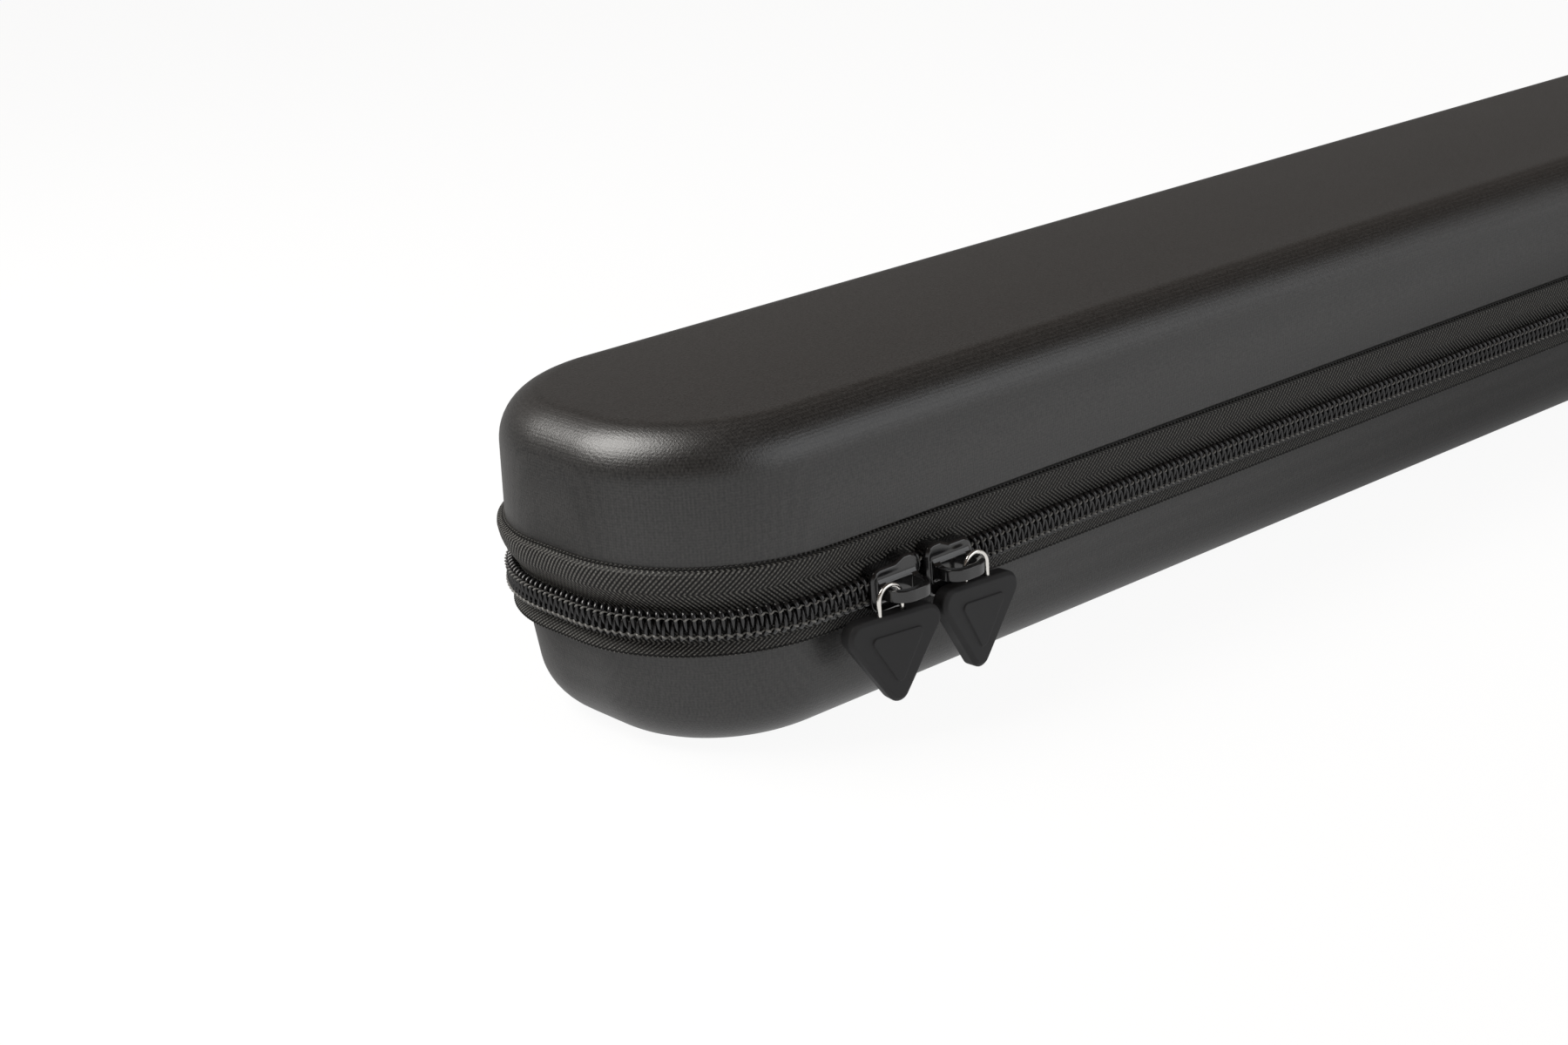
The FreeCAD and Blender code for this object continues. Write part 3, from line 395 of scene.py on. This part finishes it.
def ease(value, start, end):
    """0 before start, 1 after end, smooth between."""
    share = min(max((value - start) / (end - start), 0.0), 1.0)
    return share * share * (3 - 2 * share)


def from_end(along):
    """Distance along the zip from the nearer end of it, in millimetres."""
    return min(along, ZIP_LENGTH - along) / MM


def sunk(along, up):
    """How far out the chain's face stands at a height above its middle."""
    end = from_end(along)
    sink = SINK * ease(end, SINK_STARTS, SUNK) * (1 - ease(end, SINK_ENDS, LEVEL_AGAIN))
    tip = TIP * ease(end, TIP_STARTS, TIPPED)
    return up * math.tan(tip) - sink

# The zip's two tapes.
# Herringbone tape. The upper one stands out from the lid's rim as a lip at the ends of the case and
# tucks under the rim along the front, with a beaded selvedge. The lower one is turned in over the
# base's rim.
TAPE, YARN = 0.8 * MM, 1.2 * MM
UPPER_WIDTH, LOWER_WIDTH, TAPE_LENGTH = 0.011, 0.0135, 1.075
UPPER_INNER_EDGE, LOWER_INNER_EDGE = 34.8 * MM, 30.9 * MM
FACE_OUT = 0.1 * MM
CLOTH_CREASE = math.radians(50)
TAPE_COLUMNS = 540

# How many yarns wide each band of the herringbone is.
HERRINGBONE = 4.2

# The lip, in mm: how far out it stands at least, and how much more round the ends of the case; and where
# it starts, is full, starts to go and is gone.
LIP_LEAST, LIP_MORE = 0.05, 1.95
LIP_STARTS, LIP_FULL, LIP_ENDS, LIP_GONE = 0, 30, 90, 215

# Its foot, in mm: the level where it leaves the chain's face, how much higher that is along the front,
# where the sliders run, and from where to where it rises.
FOOT, FOOT_RISE, FOOT_RISES, FOOT_RISEN = 36, 3, 130, 156

# Its top edge, in mm: the level where it tucks under the rim. Then, for each mm that the lip stands out:
# how far the top edge is lifted, the face bulges and the crest rises, and the share of the width that is
# turned back.
TOP_EDGE, LIFT, BULGE, CREST, TURNED_BACK = 44.1, 0.5, 0.45, 0.4, 0.08

# The lower tape: how far it is turned in, the share of its width that this takes, how far inside the fold
# ends, how far above the rim its two parts lie, and between which levels it comes out to the chain.
TURNED_IN, LOWER_FOLD, FOLD_INSIDE = 6.5 * MM, 0.45, 0.5 * MM
RIM_PLAY, FOLD_ROOM = 0.02 * MM, 0.25 * MM
COMES_OUT, IS_OUT = 26.0 * MM, 29.6 * MM

# The beads of the selvedge, and where the lower tape's lie: out from its face, and up.
BEAD, BEAD_FORM = 0.56 * MM, (1.25, 1.0, 0.72)
LOWER_BEADS = (-0.45 * MM, 25.85 * MM)


def lip(along):
    """How far the upper tape's top edge stands out from the lid's wall."""
    end = from_end(along)
    more = LIP_MORE * ease(end, LIP_STARTS, LIP_FULL) * (1 - ease(end, LIP_ENDS, LIP_GONE))
    return (LIP_LEAST + more) * MM


def top_edge(along):
    """The level of the upper tape's top edge: just under the rim, or in front of it where it stands out."""
    return (TOP_EDGE + LIFT * lip(along) / MM) * MM


def mix(a, b, share):
    return a + (b - a) * share


def upper_profile(along, share):
    """From the chain up to the lip, whose edge is turned back against the lid where it stands out."""
    turned = TURNED_BACK * lip(along) / MM
    z = mix(UPPER_INNER_EDGE, top_edge(along), min(share / (1 - turned), 1))
    chain = FACE_OUT + sunk(along, z - CHAIN_LEVEL)
    foot = (FOOT + FOOT_RISE * ease(from_end(along), FOOT_RISES, FOOT_RISEN)) * MM
    rise = min(max((z - foot) / (top_edge(along) - foot), 0), 1)
    out = mix(chain, lip(along), rise) + BULGE * lip(along) * math.sin(math.pi * rise)
    back = max(share - 1 + turned, 0) / turned
    return mix(out, FACE_OUT, back), z + CREST * lip(along) * math.sin(math.pi / 2 * back)


def lower_profile(along, share):
    """In over the base's rim, and then up its outside to the chain."""
    if share < LOWER_FOLD:
        return mix(-TURNED_IN, -FOLD_INSIDE, share / LOWER_FOLD), BASE_RIM + RIM_PLAY
    z = mix(BASE_RIM + FOLD_ROOM, LOWER_INNER_EDGE, (share - LOWER_FOLD) / (1 - LOWER_FOLD))
    chain = FACE_OUT + sunk(along, z - CHAIN_LEVEL)
    return mix(-FACE_OUT, chain, ease(z, COMES_OUT, IS_OUT)), z


def woven_strip(name, length, width, columns, rows, profile):
    """A strip woven flat, its face towards -Y, with a profile: out and up at a place and share of width.

    Its UV map counts yarns.
    """
    bpy.ops.object.select_all(action="DESELECT")
    bpy.ops.mesh.primitive_grid_add(x_subdivisions=columns, y_subdivisions=rows, size=1,
                                    rotation=(math.pi / 2, 0, 0))
    strip = bpy.context.object
    strip.name = name
    bpy.ops.object.transform_apply(location=True, rotation=True, scale=True)
    uv = strip.data.uv_layers.active.data
    for loop in strip.data.loops:
        co = strip.data.vertices[loop.vertex_index].co
        uv[loop.index].uv = ((co.x + 0.5) * length / YARN, (co.z + 0.5) * width / YARN)
    for v in strip.data.vertices:
        along = (v.co.x + 0.5) * length
        out, z = profile(along, v.co.z + 0.5)
        v.co = (along, -out, z - CHAIN_LEVEL)
    finish_with(strip, "SOLIDIFY", thickness=TAPE, offset=-1, use_even_offset=True)
    bpy.ops.object.shade_smooth_by_angle(angle=CLOTH_CREASE)
    return strip


def selvedge(name, edge):
    """A row of woven beads, one to a yarn, along a tape's edge."""
    bpy.ops.object.select_all(action="DESELECT")
    bpy.ops.mesh.primitive_uv_sphere_add(segments=6, ring_count=5, radius=BEAD)
    beads = bpy.context.object
    beads.name = name
    beads.scale = BEAD_FORM
    bpy.ops.object.transform_apply(location=True, rotation=True, scale=True)
    finish_with(beads, "ARRAY", count=int(ZIP_LENGTH / YARN) - 1, use_relative_offset=False,
                use_constant_offset=True, constant_offset_displace=(YARN, 0, 0))
    for v in beads.data.vertices:
        v.co.x += YARN / 2
        out, z = edge(v.co.x)
        v.co.y -= out
        v.co.z += z - CHAIN_LEVEL
    bpy.ops.object.shade_smooth()
    return lay_on_line(beads)


upper_tape = lay_on_line(woven_strip("upper_tape", ZIP_LENGTH, UPPER_WIDTH, columns=TAPE_COLUMNS, rows=14,
                                     profile=upper_profile))
lower_tape = lay_on_line(woven_strip("lower_tape", ZIP_LENGTH, LOWER_WIDTH, columns=TAPE_COLUMNS, rows=13,
                                     profile=lower_profile))
upper_selvedge = selvedge("upper_selvedge", lambda along: upper_profile(along, 1))
lower_selvedge = selvedge("lower_selvedge", lambda along: LOWER_BEADS)

tape_weave, add, shader = new_material("tape_weave")
across = add("UVMap").outputs["UV"]
split = add("SeparateXYZ", Vector=across).outputs
band = work_out(add, "PINGPONG", split["Y"], HERRINGBONE)
ridge = between(add, ridges(add, work_out(add, "ADD", split["X"], band), pitch=1.0), first=0, last=1,
                start=-0.5, end=0.8)
bead = between(add, ridges(add, work_out(add, "SUBTRACT", split["X"], band), pitch=1.1), first=0.4, last=1,
               start=-0.6, end=0.6)
fuzz = between(add, noise(add, across, Scale=2.2, Detail=3), first=0.5, last=1.4, start=0.3, end=0.7)
yarn_with_painted_light = work_out(add, "MULTIPLY", work_out(add, "MULTIPLY", ridge, bead), fuzz)
# The yarns' crests are painted light and the gaps between them painted near-black: a painted highlight and
# painted shade of the weave, varied at random by the fuzz.
colour(add, shader, yarn_with_painted_light, dark=(0.002, 0.002, 0.002), light=(0.17, 0.17, 0.162))
shader.inputs["Roughness"].default_value = 0.5
shader.inputs["Specular IOR Level"].default_value = 0.2
relief(add, shader, yarn_with_painted_light, strength=1.0, depth=0.4 * MM)
give(upper_tape, tape_weave, "lid", "zip_tape", "upper_zip_tape")
give(lower_tape, tape_weave, "base", "zip_tape", "lower_zip_tape")
give(upper_selvedge, tape_weave, "lid", "zip_tape")
give(lower_selvedge, tape_weave, "base", "zip_tape")

# The coils and their stitching.
# Each half of the chain is one nylon thread wound into flattened turns, whose heads mesh with the other
# half's, and a row of lockstitches over the turns holds it to its tape. One turn and one stitch are
# shaped and repeated.
PITCH_MM = 1.95
PITCH = PITCH_MM * MM
COIL_START = 0.3 * MM
COIL_THREAD, UPPER_STITCHES, LOWER_STITCHES = 0.46 * MM, 0.19 * MM, 0.25 * MM
STITCH_AT = 1.95
PARTED = 1.3 * MM
NEAR_SLIDER, FAR_SLIDER, PARTS_OVER = -365.8 * MM, -349.6 * MM, 5 * MM

# The knots of one turn and of one stitch, as a winder would set them: along the zip, out from the tape
# and up from the chain's middle, or for a stitch from STITCH_AT, all in mm, and the thread's girth as a
# share of its own.
TURN = [(0.00, 1.50, 3.04, 1.2), (0.34, 2.36, 2.30, 1.12), (0.47, 2.40, -0.25, 0.8),
        (0.66, 1.42, -1.20, 0.8), (0.86, 0.52, -0.20, 0.8), (1.45, 0.50, 2.10, 1.0),
        (PITCH_MM, 1.50, 3.04, 1.2)]
STITCH = [(0.00, 2.25, -0.16, 0.8), (0.36, 3.02, -0.14, 1.15), (0.86, 2.96, 0.18, 1.15),
          (1.25, 2.30, 0.14, 0.8), (PITCH_MM, 2.25, -0.16, 0.8)]

# Which way the thread runs through its first and last knot, and how far its handles reach, in mm.
TURN_RUNS, STITCH_RUNS = (0.12, -0.5, 0), (0.15, -0.05, 0)


def parted(along):
    """How far each half of the chain stands away from the other between the two sliders."""
    near, far = ZIP_LENGTH / 2 + NEAR_SLIDER, ZIP_LENGTH / 2 + FAR_SLIDER
    return PARTED * ease(along, near, near + PARTS_OVER) * (1 - ease(along, far - PARTS_OVER, far))


def wound(name, knots, radius, sign, start, runs):
    """One thread of a chain half, repeated along the zip: above its middle or, with sign -1, below it."""
    bpy.ops.object.select_all(action="DESELECT")
    bpy.ops.curve.primitive_bezier_curve_add()
    thread = bpy.context.object
    thread.name = name
    spline = thread.data.splines[0]
    spline.bezier_points.add(len(knots) - 2)
    for point, (along, out, up, girth) in zip(spline.bezier_points, knots):
        point.co = Vector((along, -out, sign * up)) * MM
        point.radius = girth
        point.handle_left_type = point.handle_right_type = "AUTO"
    for point in (spline.bezier_points[0], spline.bezier_points[-1]):
        point.handle_left_type = point.handle_right_type = "FREE"
        point.handle_left = point.co - Vector(runs) * MM
        point.handle_right = point.co + Vector(runs) * MM
    thread.data.resolution_u = 2
    thread.data.bevel_depth = radius
    thread.data.bevel_resolution = 1
    bpy.ops.object.convert(target="MESH")
    thread = bpy.context.object
    finish_with(thread, "ARRAY", count=int(ZIP_LENGTH / PITCH) - 1, use_relative_offset=False,
                use_constant_offset=True, constant_offset_displace=(PITCH, 0, 0), use_merge_vertices=True,
                merge_threshold=HAIR)
    for v in thread.data.vertices:
        v.co.x += start
        v.co.y -= sunk(v.co.x, v.co.z)
        v.co.z += sign * parted(v.co.x)
    pick(thread, "FACE", every)
    bpy.ops.mesh.normals_make_consistent(inside=False)
    done(thread)
    bpy.ops.object.shade_smooth()
    return lay_on_line(thread)


nylon, add, shader = new_material("nylon")
wear = noise(add, add("TexCoord").outputs["Object"], Scale=500, Detail=3)
roughen(add, shader, wear, least=0.13, most=0.26)
colour(add, shader, wear, dark=(0.008, 0.008, 0.009), light=(0.016, 0.016, 0.017))
relief(add, shader, wear, strength=0.1, depth=0.05 * MM)

thread_sheen, add, shader = new_material("thread_sheen")
fuzz = noise(add, add("TexCoord").outputs["Object"], Scale=1800, Detail=2)
# The thread's own grey, painted lighter in spots: a painted sheen for the glints on the stitches.
colour(add, shader, fuzz, dark=(0.03, 0.03, 0.03), light=(0.2, 0.2, 0.19))
shader.inputs["Roughness"].default_value = 0.4
relief(add, shader, fuzz, strength=0.4, depth=0.1 * MM)

stitch_row = [(along, out, up + STITCH_AT, girth) for along, out, up, girth in STITCH]
for half, sign, start, stitching, body in (
        ("upper", 1, COIL_START, UPPER_STITCHES, "lid"),
        ("lower", -1, COIL_START + PITCH / 2, LOWER_STITCHES, "base")):
    turns = wound(half + "_turns", TURN, COIL_THREAD, sign, start, TURN_RUNS)
    give(turns, nylon, body, "zip_coil", half + "_coil")
    stitches = wound(half + "_stitches", stitch_row, stitching, sign, start, STITCH_RUNS)
    give(stitches, thread_sheen, body, "zip_tape")

# The zip's ends.
# A small enamelled box closes the chain at each end, and a tab of woven cloth is sewn over the raw end
# of the tape, across the gap between base and lid.
TAB_FROM, TAB_TO, TAB_WIDTH = 342 * MM, 359.75 * MM, 0.0182
TAB_OUT, TAB_LOW, TAB_HIGH = 0.9 * MM, 26.0 * MM, 44.2 * MM
CROSSING_HEIGHT, HALF_WAY = 0.38, 0.5


def on_back(strip, start):
    """Turns a strip's face to the back of the case and puts it at its place along X."""
    to_back = Matrix.Translation((start, CASE_WIDTH / 2, CHAIN_LEVEL)) @ Matrix.Rotation(math.pi, 4, "Z")
    strip.data.transform(to_back)
    return strip


webbing, add, shader = new_material("webbing")
across = add("UVMap").outputs["UV"]
split = add("SeparateXYZ", Vector=across).outputs
crossings = work_out(add, "MULTIPLY", ridges(add, split["X"], pitch=1.0),
                     ridges(add, split["Y"], pitch=1.25))
over = work_out(add, "ADD", work_out(add, "MULTIPLY", crossings, CROSSING_HEIGHT), HALF_WAY)
fuzz = noise(add, across, Scale=2.5, Detail=3)
over = work_out(add, "MULTIPLY", over, between(add, fuzz, first=0.65, last=1.35))
colour(add, shader, over, dark=(0.006, 0.006, 0.006), light=(0.055, 0.055, 0.054))
shader.inputs["Roughness"].default_value = 0.8
shader.inputs["Sheen Weight"].default_value = 0.1
relief(add, shader, over, strength=0.7, depth=0.25 * MM)

enamel, add, shader = new_material("enamel")
wear = noise(add, add("TexCoord").outputs["Object"], Scale=260, Detail=3)
roughen(add, shader, wear, least=0.12, most=0.2)
colour(add, shader, wear, dark=(0.004, 0.004, 0.0045), light=(0.009, 0.009, 0.01))
shader.inputs["Coat Weight"].default_value = 0.3
shader.inputs["Coat Roughness"].default_value = 0.08

for end, start in (("near", -TAB_FROM), ("far", TAB_TO)):
    stop = eased_copy(end + "_stop", end + "_end_stop", grain=0.16 * MM, passes=5)
    give(stop, enamel, "base", "slider_enamel", end + "_end_stop")
    tab = woven_strip(end + "_tab", TAB_TO - TAB_FROM, TAB_WIDTH, columns=12, rows=14,
                      profile=lambda along, share: (TAB_OUT, mix(TAB_LOW, TAB_HIGH, share)))
    on_back(tab, start)
    give(tab, webbing, None, "hinge_cloth", end + "_end_tab")
    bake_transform(tab)

# The fabric hinge.
# A strip of woven webbing joins the base to the lid along the back, turned in over the base's rim, and
# a second, brushed cloth covers its seams on the inside.
HINGE_HALF, WEB_WIDTH, COVER_WIDTH = 359.9 * MM, 0.0255, 0.0178
WEB_FOLD, WEB_INSIDE, WEB_ROOM, WEB_HIGH = 0.25, 0.1 * MM, 0.2 * MM, 44.2 * MM
COVER_IN, COVER_LOW, COVER_HIGH = 4.4 * MM, 26.7 * MM, 44.5 * MM


def web_profile(along, share):
    """In over the base's rim, and then straight up the back."""
    if share < WEB_FOLD:
        return mix(-TURNED_IN, -WEB_INSIDE, share / WEB_FOLD), BASE_RIM + RIM_PLAY
    return 0.0, mix(BASE_RIM + WEB_ROOM, WEB_HIGH, (share - WEB_FOLD) / (1 - WEB_FOLD))


def cover_profile(along, share):
    return -COVER_IN, mix(COVER_LOW, COVER_HIGH, share)


hinge_web = woven_strip("hinge_web", 2 * HINGE_HALF, WEB_WIDTH, columns=180, rows=20, profile=web_profile)
hinge_cover = woven_strip("hinge_cover", 2 * HINGE_HALF, COVER_WIDTH, columns=180, rows=14,
                          profile=cover_profile)
for cloth, material, slot, node, width in (
        (hinge_web, webbing, "hinge_cloth", "hinge_strip", WEB_WIDTH),
        (hinge_cover, brushed_cloth, "lining_cloth", "hinge_lining", COVER_WIDTH)):
    on_back(cloth, HINGE_HALF)
    give(cloth, material, None, slot, node)
    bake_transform(cloth)

# The rim's band and the bindings.
# A stiff band of webbing inside the lid's rim keeps it true. Black ribbon covers the sewn edges inside:
# flat on the base's rim, over the turned-in tape, and upright inside the lid's band.
BAND_LOW, BAND_INSET, BAND = 39.6 * MM, 0.8 * MM, 2.2 * MM
RIBBON, RIBBON_PLAY, RING_OUTER, RING_INNER = 0.6 * MM, 0.05 * MM, 5.0 * MM, 8.4 * MM
HOOP_EDGE, HOOP_EDGE_STEPS, HOOP_CORNER = 0.3, 2, math.radians(60)
RIB_HEIGHT, RIB_GROUND = 0.2, 0.6


def hoop(name, inset, high, thickness):
    """An upright ribbon that runs all round the case."""
    ribbon = rounded_plate(name, inset, BAND_LOW)
    pick(ribbon, "FACE", every)
    bpy.ops.mesh.delete(type="ONLY_FACE")
    done(ribbon)
    pick(ribbon, "EDGE", every)
    bpy.ops.mesh.extrude_region_move(TRANSFORM_OT_translate={"value": (0, 0, high - BAND_LOW)})
    bpy.ops.mesh.select_all(action="SELECT")
    bpy.ops.mesh.normals_make_consistent(inside=False)
    done(ribbon)
    finish_with(ribbon, "SOLIDIFY", thickness=thickness, offset=-1, use_even_offset=True)
    finish_with(ribbon, "BEVEL", width=thickness * HOOP_EDGE, segments=HOOP_EDGE_STEPS,
                limit_method="ANGLE", angle_limit=HOOP_CORNER)
    bpy.ops.object.shade_smooth_by_angle(angle=CLOTH_CREASE)
    return ribbon


def flat_ring(name, outer, inner, z, thickness):
    """A ribbon that lies flat all round the case."""
    ring = rounded_plate(name, outer, z)
    pick(ring, "FACE", every)
    bpy.ops.mesh.inset(thickness=inner - outer, use_even_offset=True)
    bpy.ops.mesh.delete(type="FACE")
    done(ring)
    finish_with(ring, "SOLIDIFY", thickness=thickness, offset=1)
    bpy.ops.object.shade_smooth_by_angle(angle=CLOTH_CREASE)
    return ring


rim_web = hoop("rim_web", inset=BAND_INSET, high=LID_RIM, thickness=BAND)
lid_ribbon = hoop("lid_ribbon", inset=BAND_INSET + BAND + RIBBON_PLAY, high=LID_RIM - RIBBON_PLAY,
                  thickness=RIBBON)
base_ribbon = flat_ring("base_ribbon", outer=RING_OUTER, inner=RING_INNER,
                        z=BASE_RIM + TAPE + RIBBON_PLAY, thickness=RIBBON)
ribbon_weave, add, shader = new_material("ribbon_weave")
place = add("TexCoord").outputs["Object"]
ribs = ridges(add, add("SeparateXYZ", Vector=place).outputs["X"], pitch=0.9 * MM)
ribs = work_out(add, "ADD", work_out(add, "MULTIPLY", ribs, RIB_HEIGHT), RIB_GROUND)
weave = work_out(add, "MULTIPLY", ribs, noise(add, place, Scale=1500, Detail=3))
colour(add, shader, weave, dark=(0.008, 0.008, 0.008), light=(0.07, 0.07, 0.069))
shader.inputs["Roughness"].default_value = 0.6
relief(add, shader, weave, strength=0.5, depth=0.15 * MM)
give(rim_web, ribbon_weave, "lid", "hinge_cloth", "rim_band")
give(lid_ribbon, ribbon_weave, "lid", "binding_ribbon", "lid_binding")
give(base_ribbon, ribbon_weave, "base", "binding_ribbon", "base_binding")

# The sliders and their pulls.
# Two die-cast zinc sliders in gloss black enamel, nose to nose, so that the case opens from either side
# of the corner. Each carries a loop of nickel wire through the arch of its saddle, and a moulded rubber
# tag on the loop.
nickel, add, shader = new_material("nickel")
wear = noise(add, add("TexCoord").outputs["Object"], Scale=600, Detail=4)
roughen(add, shader, wear, least=0.14, most=0.3)
colour(add, shader, wear, dark=(0.62, 0.6, 0.57), light=(0.8, 0.78, 0.74))
shader.inputs["Metallic"].default_value = 1.0
relief(add, shader, wear, strength=0.1, depth=0.05 * MM)

tag_rubber, add, shader = new_material("tag_rubber")
place = add("TexCoord").outputs["Object"]
dust = noise(add, place, Scale=90, Detail=4, Roughness=0.6)
pores = noise(add, place, Scale=3200, Detail=2)
colour(add, shader, dust, dark=(0.008, 0.0082, 0.009), light=(0.015, 0.0153, 0.0165))
roughen(add, shader, dust, least=0.54, most=0.7)
shader.inputs["Specular IOR Level"].default_value = 0.35
relief(add, shader, pores, strength=0.2, depth=0.06 * MM)


def hung(tag, node, yaw, swing):
    """Turns a tag a little on its wire, as it happens to hang: about the middle of its top, in degrees."""
    low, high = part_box(node)
    top = Vector(((low[0] + high[0]) / 2, (low[1] + high[1]) / 2, high[2]))
    turned = Matrix.Rotation(math.radians(yaw), 4, "Z") @ Matrix.Rotation(math.radians(swing), 4, "Y")
    tag.data.transform(Matrix.Translation(top) @ turned @ Matrix.Translation(-top))


for side, yaw, swing in (("near", -9, 0), ("far", 2.5, 4)):
    slider = eased_copy(side + "_slider", side + "_slider_body", grain=0.14 * MM, passes=4)
    give(slider, enamel, side + "_slider", "slider_enamel", side + "_slider_body")
    loop = eased_copy(side + "_loop", side + "_pull_wire", grain=0.12 * MM, passes=4)
    give(loop, nickel, side + "_pull", "bright_wire", side + "_pull_wire")
    tag = eased_copy(side + "_tag", side + "_pull_tag", grain=0.18 * MM, passes=5)
    hung(tag, side + "_pull_tag", yaw, swing)
    give(tag, tag_rubber, side + "_pull", "tag_rubber", side + "_pull_tag")

# The camera, the floor and the lights.
# A pale floor that runs out to white, one soft box over the near end of the case and a larger one in
# front of it. The surroundings are white, and a little warm overhead; what is mirrored of them is bright
# low down in front, and dim behind and overhead.
EYE, HEADING, DIP, TILT = (-0.707, -0.434, 0.2285), -0.681, -0.336, -0.080
bpy.ops.object.camera_add(location=EYE)
camera = bpy.context.object
camera.data.lens = 58.24
camera.data.sensor_width = 36
turn = Matrix.Rotation(math.pi / 2 + DIP, 3, "X") @ Matrix.Rotation(TILT, 3, "Z")
camera.rotation_euler = (Matrix.Rotation(HEADING, 3, "Z") @ turn).to_euler()
bpy.context.scene.camera = camera


def seen_directly(add, in_gloss=1.0):
    """1 for rays that see the background straight or through something clear, in_gloss if mirrored."""
    ray = add("LightPath").outputs
    mirrored = work_out(add, "MULTIPLY", ray["Is Glossy Ray"], in_gloss)
    seen = work_out(add, "MAXIMUM", ray["Is Camera Ray"], mirrored)
    return work_out(add, "MAXIMUM", seen, ray["Is Transmission Ray"])


# The floor is mostly its own white, with a share of shaded paper for the case's shadow. What the case
# mirrors of it falls off from bright in front to dim behind, sooner towards the far end.
FLOOR_SIZE, PAPER, OWN_WHITE = 30, 0.8, 0.93
DIMS_ALONG, DIMS_FROM, DIMS_TO, DIMMED = 0.36, -0.19, -0.1, 0.34
bpy.ops.object.select_all(action="DESELECT")
bpy.ops.mesh.primitive_plane_add(size=FLOOR_SIZE, location=(0, 0, 0))
floor = bpy.context.object
floor.name = "floor"
paper, add, shader = new_material("paper")
paper.node_tree.nodes.remove(shader)
place = add("SeparateXYZ", Vector=add("TexCoord").outputs["Object"]).outputs
slant = work_out(add, "MULTIPLY_ADD", place["X"], DIMS_ALONG, place["Y"])
mirrored = between(add, slant, first=1.0, last=DIMMED, start=DIMS_FROM, end=DIMS_TO)
matt = add("BsdfDiffuse", Color=(PAPER, PAPER, PAPER, 1))
glow = add("Emission", Color=(1, 1, 1, 1), Strength=seen_directly(add, mirrored))
blend = add("MixShader")
add.link(work_out(add, "MULTIPLY", seen_directly(add), OWN_WHITE), blend.inputs[0])
add.link(matt.outputs[0], blend.inputs[1])
add.link(glow.outputs[0], blend.inputs[2])
add.link(blend.outputs[0], paper.node_tree.nodes["Material Output"].inputs["Surface"])
floor.data.materials.append(paper)

# What is mirrored of the surroundings, by its direction: bright at the horizon in front, less at the
# horizon behind, and dim and warm overhead. The room's light is what all surfaces get from all round.
IN_FRONT, BEHIND, FRONT_ENDS = 0.9, 0.22, -0.6
OVERHEAD, OVERHEAD_STARTS, WARM_STARTS = 0.1, 0.42, 0.12
WHITE, WARM = (1, 1, 1), (1, 0.8, 0.66)
ROOM_LIGHT = 0.3
world = bpy.data.worlds.new("studio")
bpy.context.scene.world = world
world.use_nodes = True
add = node_adder(world.node_tree)
background = world.node_tree.nodes["Background"]
way = add("SeparateXYZ", Vector=add("TexCoord").outputs["Generated"]).outputs
warmth = between(add, way["Z"], first=0, last=1, start=WARM_STARTS, end=OVERHEAD_STARTS)
add.link(two_tone(add, warmth, WHITE, WARM), background.inputs["Color"])
horizon = between(add, way["Y"], first=IN_FRONT, last=BEHIND, start=FRONT_ENDS, end=0)
sky = between(add, way["Z"], first=horizon, last=OVERHEAD, start=0, end=OVERHEAD_STARTS)
room = work_out(add, "MULTIPLY", add("LightPath").outputs["Is Diffuse Ray"], ROOM_LIGHT)
add.link(work_out(add, "MAXIMUM", seen_directly(add, sky), room), background.inputs["Strength"])


def soft_box(name, place, aim, width, height, power, tint):
    """A large soft lamp at one place, turned to face another."""
    bpy.ops.object.light_add(type="AREA", location=place)
    lamp = bpy.context.object
    lamp.name = name
    lamp.data.shape = "RECTANGLE"
    lamp.data.size = width
    lamp.data.size_y = height
    lamp.data.energy = power
    lamp.data.color = tint
    lamp.rotation_euler = (Vector(aim) - Vector(place)).to_track_quat("-Z", "Y").to_euler()


soft_box("key_box", place=(-0.8, 0.38, 0.77), aim=(-0.4, 0, 0.06), width=0.6, height=0.6, power=13,
         tint=(1, 0.98, 0.95))
soft_box("front_box", place=(0.3, -1.3, 0.85), aim=(-0.1, 0, 0.04), width=1.8, height=1.1, power=11,
         tint=(0.94, 0.97, 1))

bpy.context.scene.view_settings.view_transform = "Standard"
bpy.data.objects.remove(zip_curve)
